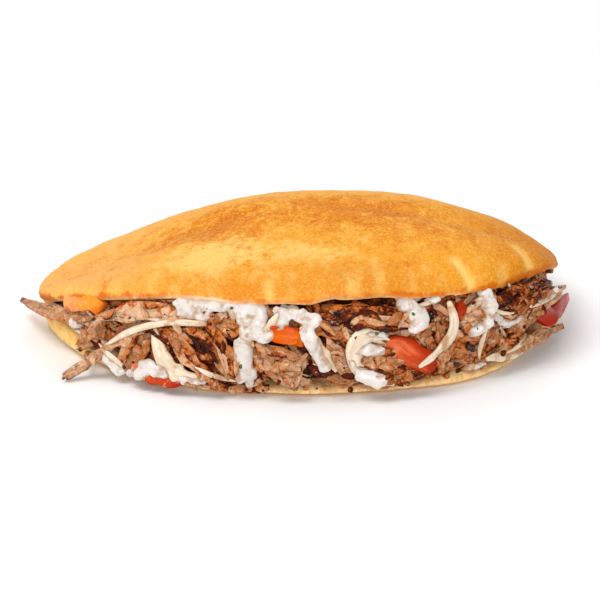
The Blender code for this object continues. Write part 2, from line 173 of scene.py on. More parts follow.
class Finish:
    """A material put together from nodes."""

    def __init__(self, name, **constants):
        self.material = bpy.data.materials.new(name)
        self.material.use_nodes = True
        self.tree = self.material.node_tree
        self.shader = self.tree.nodes["Principled BSDF"]
        for socket, value in constants.items():
            self.shader.inputs[socket.replace("_", " ")].default_value = value
        self.place = self.node("TexCoord", output="Object")

    def node(self, kind, settings=None, sockets=None, output=0):
        made = self.tree.nodes.new("ShaderNode" + kind)
        for name, value in (settings or {}).items():
            setattr(made, name, value)
        for name, value in (sockets or {}).items():
            if isinstance(value, Value):
                self.tree.links.new(value.socket, made.inputs[name])
            else:
                made.inputs[name].default_value = value
        return Value(self, made.outputs[output])

    def feed(self, socket, value):
        self.tree.links.new(value.socket, self.shader.inputs[socket])

    def noise(self, size, detail=3.0, roughness=0.5, distortion=0.0, vector=None):
        """Clouds of a given size in metres, from about 0.3 to 0.7 around a middle of 0.5."""
        return self.node("TexNoise", None,
                         {"Vector": vector or self.place, "Scale": 1 / size, "Detail": detail,
                          "Roughness": roughness, "Distortion": distortion})

    def mix(self, first, second, share):
        tones = {0: share, 6: light_of(first), 7: light_of(second)}
        return self.node("Mix", {"data_type": "RGBA"}, tones, output=2)

    def layers(self, tone, *coats):
        """Lay tones over a tone one by one, each with its own share."""
        for coat, share in coats:
            tone = self.mix(tone, coat, share)
        return tone

    def vector(self, x, y, z):
        return self.node("CombineXYZ", None, {0: x, 1: y, 2: z})

    def axes(self, vector):
        return [self.node("SeparateXYZ", None, {0: vector}, output=axis) for axis in range(3)]

    def attribute(self, name):
        return self.node("Attribute", {"attribute_name": name}, output="Fac")

    def bump(self, height, depth, strength=1.0):
        """Raise the surface by up to depth metres where height is 1."""
        return self.node("Bump", None, {"Height": height, "Distance": depth, "Strength": strength})


cloth = Finish("table top", Roughness=0.85)
cloth.feed("Base Color", cloth.mix((248, 248, 247), (244, 244, 244), cloth.noise(40 * MM)))
table.data.materials.append(cloth.material)
print("kit ready:", cloth.material.name)

# %% [markdown]
# Solids are refined with a few steps that come back again and again: pick one object, take an edit
# step on the whole of it, apply a modifier, and copy a construction solid as one closed skin. The copy
# is merged first, because a packed solid is a bag of loose triangles. Later a voxel remesh gives it
# small even faces.

# %% Helpers for shaping
def pick(piece):
    bpy.ops.object.select_all(action="DESELECT")
    piece.select_set(True)
    bpy.context.view_layer.objects.active = piece


def edit_whole(piece, step, **settings):
    """Take one edit step on all of a piece's corners."""
    pick(piece)
    bpy.ops.object.mode_set(mode="EDIT")
    bpy.ops.mesh.select_all(action="SELECT")
    step(**settings)
    bpy.ops.object.mode_set(mode="OBJECT")
    return piece


def shape(piece, kind, **settings):
    """Add a modifier, set it and apply it."""
    modifier = piece.modifiers.new(kind.title(), kind)
    for name, value in settings.items():
        setattr(modifier, name, value)
    pick(piece)
    bpy.ops.object.modifier_apply(modifier=modifier.name)


def ruffle(piece, size, depth, direction="NORMAL"):
    """Push the surface in and out by half of depth, in cloudy swells of the given size."""
    pattern = bpy.data.textures.new("clouds", "CLOUDS")
    pattern.noise_scale = size
    shape(piece, "DISPLACE", texture=pattern, texture_coords="LOCAL", direction=direction,
          strength=depth, mid_level=0.5)


def merged_copy(node, name):
    piece = bpy.data.objects.new(name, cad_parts[node].data.copy())
    bpy.context.scene.collection.objects.link(piece)
    piece.data.materials.clear()
    return edit_whole(piece, bpy.ops.mesh.remove_doubles, threshold=0.01 * MM)


print("solids to refine:", len(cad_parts))

# %% [markdown]
# Some changes are simpler as sums on all corners at once, so the corners are read as rows of numbers
# and written back. A finished piece is settled: it gets its finish and smooth shading, it is hung on
# the body it belongs to, and the solids it stands for are hidden.

# %% Corners as numbers, and settling a piece
def corners_of(mesh, what="co"):
    """The places of a mesh's corners, or another triple that each of them has."""
    values = np.empty(len(mesh.vertices) * 3)
    mesh.vertices.foreach_get(what, values)
    return values.reshape(-1, 3)


def move_corners(mesh, places):
    mesh.vertices.foreach_set("co", np.asarray(places).ravel())
    mesh.update()


def soft_step(low, high, values):
    share = np.clip((values - low) / (high - low), 0, 1)
    return share * share * (3 - 2 * share)


def settle(piece, finish, slot, *nodes):
    """Give a finished piece its material and its body, and hide the solids that it stands for."""
    piece.data.materials.clear()
    piece.data.materials.append(finish.material)
    pick(piece)
    bpy.ops.object.shade_smooth()
    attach(piece, "root")
    if nodes:
        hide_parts(*nodes)
    print(piece.name, "has", len(piece.data.polygons), "faces")


print("corners in the bread's solid:", len(corners_of(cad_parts["bread"].data)))

# %% [markdown]
# The flatbread is one baked skin: a domed top, a thin base, and a fold behind that was never split.
# Its solid already has the right form, so the surest way is to refine that solid. A fine skin is
# smoothed until the facets are gone, and swells of two sizes make it as uneven as dough that puffed
# up in an oven.

# %% The bread's skin
BREAD_GRAIN = 1.25 * MM
bread = merged_copy("bread", "flatbread")
shape(bread, "REMESH", mode="VOXEL", voxel_size=BREAD_GRAIN)
shape(bread, "SMOOTH", factor=0.5, iterations=16)
ruffle(bread, 26 * MM, 1.4 * MM)
ruffle(bread, 9 * MM, 0.5 * MM)
print("bread skin:", len(bread.data.vertices), "corners")

# %% [markdown]
# The lip of the top doesn't hang evenly over the mouth: the weight of the sauce lets it sag left of
# the middle, and the packed meat lifts it a little right of the middle. Every corner near the lip
# goes down by the sag read off a short table, and the sag fades out up the dome.

# %% The sagging lip
# Millimetres right of the mouth's middle, and how far the lip hangs down there.
SAG = ((-60, 0.0), (-42, 0.2), (-34, 0.6), (-25, 2.0), (-8, 2.1), (4, 1.7), (13, -0.8), (28, -0.6), (42, 0.4),
       (52, 1.0), (68, 0.5), (80, 0.0))


def shares_of(places):
    """How far places lie from the loaf's middle, as shares of its half length and half depth."""
    return (places[:, :2] - np.array(MIDDLE)[:2]) / np.array([HALF_LENGTH, HALF_DEPTH])


places = corners_of(bread.data)
offset = shares_of(places)
near_lip = soft_step(0.74, 0.97, np.linalg.norm(offset, axis=1)) * soft_step(12 * MM, 18 * MM, places[:, 2])
near_lip = near_lip * soft_step(-0.2, -0.6, offset[:, 1])
sag = np.interp((places[:, 0] - MOUTH_MIDDLE.x) / MM, *np.array(SAG).T)
places[:, 2] -= sag * near_lip * MM
move_corners(bread.data, places)
print("corners of the lip moved:", int((near_lip > 0.1).sum()))

# %% [markdown]
# Where the dough stretched over the filling it wrinkled. Each wrinkle is a short shallow valley that
# runs up from the lip, and its middle gets a painted highlight, a paler streak of crust colour.
# Because the place is known along a line, a formula on the distance to that line is simpler here
# than sculpting.

# %% Wrinkles above the lip
# Each wrinkle: its two ends, as shares of the bread's half length and half depth, its width, its
# depth, and how strong its painted highlight is.
WRINKLES = (((0.565, -0.66), (0.625, -0.79), 2.0, 0.8, 0.9), ((0.80, -0.38), (0.86, -0.52), 2.2, 0.8, 0.75),
            ((0.74, -0.59), (0.75, -0.68), 1.3, 0.4, 0.4), ((-0.11, -0.90), (-0.10, -0.99), 1.3, 0.5, 0.4),
            ((0.17, -0.87), (0.19, -0.97), 1.4, 0.4, 0.35), ((0.40, -0.80), (0.41, -0.92), 1.4, 0.4, 0.3),
            ((-0.52, -0.74), (-0.53, -0.84), 1.6, 0.3, 0.3), ((0.28, -0.86), (0.29, -0.95), 1.1, 0.3, 0.25))
places = corners_of(bread.data)
normals = corners_of(bread.data, "normal")
crease_highlight = np.zeros(len(places))
valley = np.zeros(len(places))
# Along the middle of each wrinkle the crust gets a painted highlight, a paler streak.
for start, end, width, depth, highlight_strength in WRINKLES:
    first = np.array([MIDDLE.x + start[0] * HALF_LENGTH, MIDDLE.y + start[1] * HALF_DEPTH])
    run = np.array([MIDDLE.x + end[0] * HALF_LENGTH, MIDDLE.y + end[1] * HALF_DEPTH]) - first
    share = np.clip(((places[:, :2] - first) @ run) / (run @ run), 0, 1)
    away = np.linalg.norm(places[:, :2] - first - share[:, None] * run, axis=1)
    mark = np.exp(-((away / (width * MM)) ** 2)) * (normals[:, 2] > -0.2) * (places[:, 2] > 8 * MM)
    valley += mark * depth * MM
    crease_highlight = np.maximum(crease_highlight, mark * highlight_strength)
move_corners(bread.data, places - normals * valley[:, None])
print("wrinkled corners:", int((crease_highlight > 0.3).sum()))

# %% [markdown]
# Bread has two faces: the baked crust outside, and pale crumb inside the pocket and on the cut rim.
# Each corner of the mesh gets a mark between crust, 0, and crumb, 1, from where it lies and which way
# it looks. The mark is spread to its neighbours a few times, so crust fades into crumb.

# %% Where crust ends and crumb begins
def spread(mesh, values, times):
    """Average each corner's value with its neighbours' along the edges."""
    edges = np.empty(len(mesh.edges) * 2, dtype=np.int64)
    mesh.edges.foreach_get("vertices", edges)
    one, other = edges.reshape(-1, 2).T
    count = np.bincount(one, minlength=len(values)) + np.bincount(other, minlength=len(values))
    for _ in range(times):
        near = np.bincount(one, values[other], len(values)) + np.bincount(other, values[one], len(values))
        values = 0.5 * values + 0.5 * near / count
    return values


def mark_corners(mesh, name, values):
    mark = mesh.attributes.new(name, "FLOAT", "POINT")
    mark.data.foreach_set("value", np.asarray(values, dtype=np.float32))


places = corners_of(bread.data)
normals = corners_of(bread.data, "normal")
offset = shares_of(places)
reach = np.linalg.norm(offset, axis=1)
in_front = soft_step(0.25, -0.15, offset[:, 1])
ceiling = (normals[:, 2] < -0.35) & (places[:, 2] > 6.5 * MM) & (reach < 0.985)
floor = (normals[:, 2] > 0.2) & (places[:, 2] < 9 * MM) & (reach < 0.99) & ((in_front > 0.5) | (reach < 0.9))
rim = (places[:, 2] > 0.9 * MM) & (places[:, 2] < 4.6 * MM) & (reach > 0.9) & (offset[:, 1] < 0.0)
crumb = np.maximum(ceiling, floor).astype(float)
crumb = np.maximum(spread(bread.data, crumb, 3), spread(bread.data, rim.astype(float), 1) * 0.9)
mark_corners(bread.data, "crumb", crumb)
mark_corners(bread.data, "crease_highlight", spread(bread.data, crease_highlight, 1))
# The lip's face that looks down gets a mark for a darker band there, partly toasted crust and partly painted
# shade under the lip.
lip = (reach > 0.93) & (normals[:, 2] < 0.3) & (places[:, 2] > 10 * MM) & (offset[:, 1] < 0.1)
mark_corners(bread.data, "toasted_and_shaded", spread(bread.data, lip.astype(float), 3))
print("share of crumb:", round(float(crumb.mean()), 2))

# %% [markdown]
# The crust is golden, not brown: oven heat has coloured the highest part of the dome and left the low
# ends peachy. Broad patches are soft ovals seen from above. Blotches, freckles and grain are clouds
# of falling size, and each turns the gold a step lighter or darker. Some tones are painted light: a
# painted highlight on the front of the dome left of the middle and along the wrinkles, a paler back
# that is partly a painted sheen at the far edge, painted shade along the front edge and in part on
# the lip's underside and at the right end, and painted light on the turned-up base at the left. The
# colours hold almost no blue, because the white room adds some of its own.

# %% Crust finish
crust = Finish("crust", Roughness=0.6, Specular_IOR_Level=0.05,
               Subsurface_Weight=0.05, Subsurface_Scale=2 * MM)
along, deep, high = crust.axes(crust.place)


def patch(across, back, half_across, half_back):
    """A soft oval seen from above, its middle and radii as shares of the bread's own."""
    from_middle = (along - (MIDDLE.x + across * HALF_LENGTH)) / (half_across * HALF_LENGTH)
    from_front = (deep - (MIDDLE.y + back * HALF_DEPTH)) / (half_back * HALF_DEPTH)
    return ((from_middle * from_middle + from_front * from_front) * -1.0).exponent()


dome_place = crust.vector(along, deep * 0.6, high)
blotch = crust.noise(16 * MM, 3, 0.5, 0.4, dome_place)
mottle = crust.noise(5.5 * MM, 3, 0.55, 0.3, dome_place)
freckle = crust.noise(1.9 * MM, 3, 0.65, 0.0, dome_place)
grain = crust.noise(0.9 * MM, 4, 0.75)
pull = crust.noise(26 * MM, 3, 0.5, 0.4, crust.vector(along * 5.0, deep, high))
forward = (MIDDLE.y - deep) / HALF_DEPTH
baked = patch(0.10, -0.02, 0.62, 0.36) + 0.5 * patch(0.66, -0.36, 0.26, 0.26)
baked = baked + 0.9 * patch(-0.4, 0.0, 0.26, 0.22) + 0.45 * patch(0.36, -0.26, 0.2, 0.3)
baked = baked + 0.5 * patch(0.95, -0.1, 0.22, 0.3) + 0.6 * patch(-0.1, 0.62, 0.5, 0.24)
# Painted highlight: paler patches on the front of the dome, left of the middle.
highlight_patch = patch(-0.29, -0.52, 0.16, 0.34) + 0.5 * patch(0.06, -0.62, 0.2, 0.16)
peach = (along * -1.0 - (0.34 * HALF_LENGTH - MIDDLE.x)) / (0.4 * HALF_LENGTH)
# Paler towards the back: partly the back's own lighter crust, partly a painted sheen where the far edge turns
# away.
behind = (forward * -1.0 + (blotch - 0.5) * 0.6).between(0.06, 0.4)
# Darker towards the right end: partly browning, partly painted shade.
right_end = ((along - MIDDLE.x) / HALF_LENGTH).between(0.5, 1.0)
patchy = (blotch - 0.5) * 1.5 + (mottle - 0.5) * 1.6 + (freckle - 0.5) * 1.3
patchy = patchy + (pull - 0.5) * forward.between(0.45, 0.9) * 1.8
dots = (freckle * 0.6 + mottle * 0.4 - 0.5) * 4.0 + baked * 0.35 - peach.between(0.2, 1.0) * 0.2
speckled = 0.46 + baked.between() * 0.26
at_lip = crust.attribute("toasted_and_shaded")
toasted_and_shaded = at_lip * 1.3 + (mottle - 0.5) * 2.2 + (pull - 0.5) * 2.0 - 0.4
creamed = patch(-0.31, -0.95, 0.1, 0.5) * at_lip.between(0.4, 0.8)
under = (high * -1.0 + 7 * MM).between(0.0, 6 * MM)
# Painted light: the turned-up base at the left is painted lighter where it lies in shade.
painted_light_on_curl = patch(-0.88, -0.5, 0.22, 0.3) * (high * -1.0 + 12 * MM).between(0.0, 3 * MM)
tone = crust.layers(
    (234, 158, 36),
    ((241, 172, 86), peach.between()),
    ((245, 200, 108), (highlight_patch * 1.25 - patchy - baked * 0.15).between(0.02, 1.1)),
    # Painted shade: darker orange-brown towards the front edge of the dome.
    ((206, 128, 46), forward.between(0.62, 1.0) * 0.75),
    ((208, 112, 0), (baked * 0.7 + patchy).between(0.0, 1.2)),
    ((242, 178, 88), (behind - patchy).between() * 0.6),
    ((196, 110, 14), right_end * 0.75),
    ((196, 92, 4), dots.between(0.45, 1.2) * 0.5),
    ((250, 204, 104), (0.5 - grain).between(0.0, 0.2) * speckled),
    ((200, 106, 10), (grain - 0.5).between(0.0, 0.2) * speckled),
    # Painted highlight along the wrinkles.
    ((252, 214, 126), crust.attribute("crease_highlight") * 0.8),
    # The band on the lip's underside: partly toasting, partly painted shade.
    ((208, 100, 6), toasted_and_shaded.between(0.0, 0.9) * at_lip.between(0.0, 0.35) * 0.9),
    ((234, 206, 180), creamed * 0.85),
    ((246, 184, 88), under * 0.8),
    ((255, 206, 112), painted_light_on_curl))
is_crumb = crust.attribute("crumb")
crumb_tone = crust.mix((252, 216, 156), (224, 168, 104), (freckle * 0.5 + mottle * 0.5).between(0.42, 0.6))
crust.feed("Base Color", crust.mix(tone, crumb_tone, is_crumb))
crust.feed("Roughness", 0.55 + (freckle - 0.5) * 0.4 + is_crumb * 0.3)
crust.feed("Normal", crust.bump(grain * 0.35 + freckle * 0.8 + mottle, 0.7 * MM, 0.6))
settle(bread, crust, "bread", "bread")

# %% [markdown]
# Behind the slices at the mouth lies the packed heap. Its solid reaches out to the heap's uneven
# front, so the core is that solid drawn in by a millimetre and a half, to leave room for real shreds
# on top. Lumps of two sizes keep the gaps between the shreds from looking smooth.

# %% The heap's core
CORE_GRAIN = 1.3 * MM
CORE_DRAWN_IN = 1.5 * MM
core = merged_copy("filling", "filling_core")
shape(core, "REMESH", mode="VOXEL", voxel_size=CORE_GRAIN)
shape(core, "SMOOTH", factor=0.5, iterations=4)
shape(core, "DISPLACE", strength=-CORE_DRAWN_IN, mid_level=0.0)
ruffle(core, 5 * MM, 2.6 * MM)
ruffle(core, 2 * MM, 1.0 * MM)
print("core:", len(core.data.vertices), "corners")

# %% [markdown]
# The heap's core is painted dark brown as painted shade, so the deep gaps between the shreds in the
# mouth read dark. Tan lumps and specks of sauce show in it here and there.

# %% Core finish
core_shade_finish = Finish("shaded filling", Roughness=0.7, Specular_IOR_Level=0.04)
lump = core_shade_finish.noise(5 * MM, 4, 0.6, 0.8)
speck = core_shade_finish.noise(1.5 * MM, 3, 0.6)
shade = core_shade_finish.layers(
    (52, 16, 5),
    ((128, 64, 28), lump.between(0.44, 0.68)),
    ((186, 148, 116), (speck * 0.6 + lump * 0.4).between(0.58, 0.66) * 0.4))
core_shade_finish.feed("Base Color", shade)
core_shade_finish.feed("Normal", core_shade_finish.bump(speck + lump, 0.8 * MM, 0.7))
settle(core, core_shade_finish, "filling", "filling")

# %% [markdown]
# Every slice and strip in the construction model is a bar along a curve. To put a finer shape in its
# place we need that curve back. Going out from one end along the mesh's edges, the corners sort
# themselves by distance, as water does that fills a pipe.

# %% Ways along the edges
def walk_from(mesh, start):
    """The shortest way along the edges from one corner to each other corner."""
    ways = [[] for _ in mesh.vertices]
    for edge in mesh.edges:
        one, other = edge.vertices
        length = (mesh.vertices[one].co - mesh.vertices[other].co).length
        ways[one].append((other, length))
        ways[other].append((one, length))
    best = {}
    waiting = [(0.0, start)]
    while waiting:
        gone, corner = heapq.heappop(waiting)
        if corner in best:
            continue
        best[corner] = gone
        for other, length in ways[corner]:
            if other not in best:
                heapq.heappush(waiting, (gone + length, other))
    return np.array([best.get(corner, 0.0) for corner in range(len(mesh.vertices))])


print("edges to walk along in one slice:", len(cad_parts["meat_1"].data.edges))

# %% [markdown]
# A spine is the curve down the middle of a strip, with its directions and half sizes at each place.
# Few points are known, so a smooth curve is led through them, and the side direction is turned square
# to the way the curve runs.

# %% A spine
def unit_rows(rows):
    return rows / np.linalg.norm(rows, axis=1, keepdims=True)


def even_out(rows):
    """Average each row but the end ones with its neighbours."""
    rows[1:-1] = 0.25 * rows[:-2] + 0.5 * rows[1:-1] + 0.25 * rows[2:]


class Spine:
    """A smooth curve with a side, a broad direction, a half width and a half thickness along it."""

    def __init__(self, middles, sides, half_widths, half_thicks, count=32):
        self.middle = self.smooth(np.asarray(middles), count)
        self.along = unit_rows(np.gradient(self.middle, axis=0))
        side = self.smooth(np.asarray(sides), count)
        self.side = unit_rows(side - self.along * np.sum(side * self.along, axis=1, keepdims=True))
        self.broad = np.cross(self.along, self.side)
        halves = np.stack([half_widths, half_thicks], axis=1)
        self.half_width, self.half_thick = self.smooth(halves, count).T
        self.length = float(np.linalg.norm(np.diff(self.middle, axis=0), axis=1).sum())

    def smooth(self, points, count):
        """Read a Catmull-Rom curve through the points at evenly spaced shares of the way."""
        ends = np.vstack([2 * points[0] - points[1], points, 2 * points[-1] - points[-2]])
        place = np.linspace(0, len(points) - 1.0001, count)
        first = place.astype(int)
        t = (place - first)[:, None]
        a, b, c, d = (ends[first + step] for step in range(4))
        bend = (2 * a - 5 * b + 4 * c - d) * t**2 + (3 * b - a - 3 * c + d) * t**3
        return 0.5 * (2 * b + (c - a) * t + bend)

    def read(self, values, share):
        """Values along the curve at any shares of the way from 0 to 1."""
        steps = np.linspace(0, 1, len(values))
        if values.ndim == 1:
            return np.interp(share, steps, values)
        return np.stack([np.interp(share, steps, values[:, axis]) for axis in range(3)], axis=1)


print("a spine is", Spine.__doc__[0].lower() + Spine.__doc__[1:])

# %% [markdown]
# Cutting the distance from a strip's end into stations and averaging the corners in each gives points
# of the spine, and the spread of the corners about them gives the width and the thickness.

# %% Finding a strip's spine
# The middles of the two end stations lie about this much of a station short of the strip's ends.
SHORT_OF_END = 0.4


def spine_of(node, stations=8):
    """The spine of a CAD strip."""
    strip = merged_copy(node, "measured_strip")
    places = corners_of(strip.data)
    far = int(np.argmax(np.linalg.norm(places - places.mean(axis=0), axis=1)))
    far = int(np.argmax(walk_from(strip.data, far)))
    gone = walk_from(strip.data, far)
    bpy.data.objects.remove(strip)
    station = np.minimum((gone / gone.max() * stations).astype(int), stations - 1)
    groups = [places[station == number] for number in range(stations)]
    groups = [group for group in groups if len(group) >= 3]
    middles = np.array([group.mean(axis=0) for group in groups])
    even_out(middles)
    sides, wides, thicks = [], [], []
    along = np.gradient(middles, axis=0)
    for middle, group, run in zip(middles, groups, along):
        run = run / np.linalg.norm(run)
        flat = group - middle
        flat = flat - np.outer(flat @ run, run)
        side = np.linalg.svd(flat, full_matrices=False)[2][0]
        if sides and side @ sides[-1] < 0:
            side = -side
        sides.append(side)
        wides.append(np.abs(flat @ side).max())
        thicks.append(np.abs(flat @ np.cross(run, side)).max())
    middles[0] = groups[0].mean(axis=0) - along[0] * SHORT_OF_END
    middles[-1] = groups[-1].mean(axis=0) + along[-1] * SHORT_OF_END
    return Spine(middles, sides, wides, thicks)


spines = {name: spine_of(name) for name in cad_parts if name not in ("bread", "filling")}
print("longest slice, mm:", round(max(spine.length for spine in spines.values()) / MM))

# %% [markdown]
# Shaved meat is a ragged sheet with the grain of the muscle running along it. One flat form is
# modelled: a fine grid, given thickness, then roughened by cloudy patterns that fray its ends, notch
# its long edges and raise ridges along the grain. The form measures 1 by 1 by 1, so laying it on a
# long thin slice stretches every cloud along the grain, as muscle fibres are. A few different forms
# are enough, because each copy is bent along its own spine.

# %% Flat forms of shaved meat
def fresh(name, add, **settings):
    """A basic form to shape and copy. It isn't shown itself."""
    add(**settings)
    piece = bpy.context.object
    piece.name = name
    piece.hide_render = True
    return piece


def shift_cloud(piece, size, depth, direction, seed):
    """Displace along one direction by clouds, with the piece moved to another part of the clouds."""
    away = Vector((7.3 * seed, 3.1 * seed, 1.7 * seed))
    piece.data.transform(Matrix.Translation(away))
    ruffle(piece, size, depth, direction)
    piece.data.transform(Matrix.Translation(-away))


def thick_grid(name, along, across, ways, thickness):
    """A flat grid with uneven outlines, 1 by 1, made into a sheet of the given thickness."""
    form = fresh(name, bpy.ops.mesh.primitive_grid_add, x_subdivisions=along, y_subdivisions=across, size=1.0)
    for size, depth, direction, seed in ways:
        shift_cloud(form, size, depth, direction, seed)
    shape(form, "SOLIDIFY", thickness=thickness, offset=0.0, use_even_offset=False)
    return form


def meat_form(seed, along, across, fray=0.22, notch=0.26, ridge=0.4):
    """A ragged slab, 1 long, 1 wide and about 1 thick."""
    outline = ((0.10, fray, "X", seed), (0.18, notch, "Y", seed + 1))
    form = thick_grid(f"meat_form_{seed}", along, across, outline, 0.8)
    shift_cloud(form, 0.16, ridge, "Z", seed + 2)
    shift_cloud(form, 0.5, 0.9, "Z", seed + 3)
    return form


fine_forms = [meat_form(seed, 48, 16) for seed in (1, 5, 9, 14)]
medium_forms = [meat_form(seed, 26, 9, 0.26, 0.3, 0.42) for seed in (2, 6, 10, 15)]
small_forms = [meat_form(seed, 9, 3, 0.34, 0.36, 0.5) for seed in (3, 7, 11, 17, 23, 29)]
flake_forms = [meat_form(seed, 7, 3, 0.4, 0.5, 0.6) for seed in (31, 37, 41, 43, 47)]
print("meat forms:", len(fine_forms), "fine,", len(medium_forms), "medium,", len(small_forms), "small")

# %% [markdown]
# Laying a form means bending it along a spine: its length follows the curve, its width the side and
# its thickness the broad direction. By hand this would be a Curve modifier, but a curve can't change
# the width and the thickness separately, and hundreds of shreds are quicker by formula. A pile
# gathers laid copies in one mesh. Each copy keeps three numbers on its corners: how browned it is, a
# number of its own that shifts its pattern and its tone, and how much sauce has smeared it. A fourth
# number runs from -1 at one long edge to 1 at the other.

# %% Laying forms along spines
STRIP_LAYER = "along_and_across"


class Pile:
    """Laid forms gathered into one mesh."""

    def __init__(self):
        self.corners, self.faces, self.uvs, self.marks = [], [], [], []
        self.count = 0

    def add(self, corners, mesh, mark, uv, edge=0.0):
        """Add a copy of a mesh with its corners moved to new places."""
        faces = [np.array(face.vertices) for face in mesh.polygons]
        self.corners.append(corners)
        self.faces += [(face + self.count).tolist() for face in faces]
        self.uvs.append(uv[np.concatenate(faces)])
        marks = np.tile(np.array([*mark, 0.0], dtype=np.float32), (len(corners), 1))
        marks[:, 3] = edge
        self.marks.append(marks)
        self.count += len(corners)

    def lay(self, form, spine, mark, width=1.0, round_off=0.35, twist=0.0, steady=0.0):
        """Bend a form along a spine. A steady copy keeps the spine's mean width and thickness."""
        unit = corners_of(form.data)
        near = np.clip(unit[:, 0] + 0.5, 0, 1)
        beyond = (np.clip(unit[:, 0] + 0.5, -0.08, 1.08) - near) * spine.length
        narrow = 1 - round_off * np.abs(2 * near - 1) ** 3
        along, side = spine.read(spine.along, near), spine.read(spine.side, near)
        broad = spine.read(spine.broad, near)
        turn = (twist * (near - 0.5))[:, None]
        turned = side * np.cos(turn) + broad * np.sin(turn)
        broad = broad * np.cos(turn) - side * np.sin(turn)
        half_width = steady * spine.half_width.mean() + (1 - steady) * spine.read(spine.half_width, near)
        half_thick = steady * spine.half_thick.mean() + (1 - steady) * spine.read(spine.half_thick, near)
        wide = (2 * width * narrow * half_width * unit[:, 1])[:, None]
        thick = (2 * half_thick * unit[:, 2])[:, None]
        laid = spine.read(spine.middle, near) + along * beyond[:, None] + turned * wide + broad * thick
        mean_width = 2 * float(spine.half_width.mean())
        uv = np.stack([unit[:, 0] * spine.length / MM, unit[:, 1] * mean_width / MM], axis=1)
        self.add(laid, form.data, mark, uv, 2 * unit[:, 1])

    def make(self, name):
        mesh = bpy.data.meshes.new(name)
        mesh.from_pydata(np.concatenate(self.corners), [], self.faces)
        mesh.update()
        layer = mesh.uv_layers.new(name=STRIP_LAYER)
        layer.data.foreach_set("uv", np.concatenate(self.uvs).ravel())
        marks = np.concatenate(self.marks)
        for number, word in enumerate(("browned", "shift", "smeared", "edge")):
            mark_corners(mesh, word, marks[:, number])
        piece = bpy.data.objects.new(name, mesh)
        bpy.context.scene.collection.objects.link(piece)
        return edit_whole(piece, bpy.ops.mesh.normals_make_consistent, inside=False)


laid_pieces = [core]


def lay_piece(node, form, finish, slot, mark, **how):
    """One finer piece in the place of one CAD strip."""
    pile = Pile()
    pile.lay(form, spines[node], mark, **how)
    piece = pile.make(node + "_laid")
    settle(piece, finish, slot, node)
    laid_pieces.append(piece)


print("ready to lay", len(spines), "strips")

# %% [markdown]
# Grilled meat is tan to pinkish grey where the knife cut it and orange, brown or black where it faced
# the fire. A slice shaved off the spit has that baked crust along one long edge only, so the browning
# comes in from one side. How far it comes is the slice's own browned number, and no two slices are
# equally pale. Small wet spots give it the shine of warm fat.

# %% Meat finish
def strip_axes(finish):
    """Millimetres along and across a laid strip."""
    return finish.axes(finish.node("UVMap", {"uv_map": STRIP_LAYER}))[:2]


meat = Finish("shaved meat", Roughness=0.45, Specular_IOR_Level=0.1,
              Subsurface_Weight=0.06, Subsurface_Scale=1.5 * MM, Coat_Roughness=0.18)
run, wide = strip_axes(meat)
browned, shift, smeared, edge = (meat.attribute(word) for word in ("browned", "shift", "smeared", "edge"))
fibre = meat.noise(0.6, 3, 0.6, 0.8, meat.vector(run * 0.2, wide * 0.8 + shift * 40.0, shift * 90.0))
blot = meat.noise(2.7, 5, 0.68, 0.3, meat.vector(run * 0.7, wide * 0.85, shift * 50.0))
grit = meat.noise(0.9 * MM, 3, 0.7)
wet = meat.noise(2.2 * MM, 2, 0.5)
baked_side = edge * (shift * 40.0).sine()
own_tone = (shift * 143.0).sine()
cooked = browned * 1.35 + baked_side * 0.34 + edge * edge * 0.12 + (blot - 0.5) * 2.1
cooked = cooked + (fibre - 0.5) * 0.7 + (grit - 0.5) * 0.8 - 0.5
film = (smeared + (grit - 0.5) * 0.6 + (blot - 0.5) * 1.6).between(0.42, 0.66)
# These tones are set darker than the meat's own, as painted shade of the lip over the mouth.
flesh = meat.layers(
    (172, 110, 66),
    ((206, 154, 108), (fibre * 0.5 + grit * 0.5).between(0.4, 0.6)),
    ((230, 194, 162), own_tone.between(0.2, 1.0) * 0.5),
    ((128, 72, 36), (own_tone * -1.0).between(0.2, 1.0) * 0.5),
    ((228, 190, 156), (1.0 - blot - browned * 0.2).between(0.49, 0.63) * 0.75),
    ((126, 68, 34), (blot + (fibre - 0.5) * 0.6).between(0.52, 0.69) * 0.8),
    ((196, 100, 20), cooked.between(0.06, 0.38) * 0.88),
    ((88, 27, 5), cooked.between(0.3, 0.68)),
    ((30, 8, 3), (cooked + (grit - 0.5)).between(0.76, 1.14)),
    ((224, 206, 192), film * 0.8))
meat.feed("Base Color", flesh)
meat.feed("Roughness", 0.46 - film * 0.1 + (grit - 0.5) * 0.4)
meat.feed("Coat Weight", wet.between(0.54, 0.66) * 0.45)
meat.feed("Normal", meat.bump(fibre * 0.5 + grit * 0.8, 0.5 * MM, 0.75))
print("meat finish has", len(meat.tree.nodes), "nodes")

# %% [markdown]
# The sixteen large slices come first, each along the spine of its own solid. The list says how
# browned each one is, from 0, pale inside meat, to 1, charred crust, how much sauce is on it, and
# how wide it is laid against its solid.

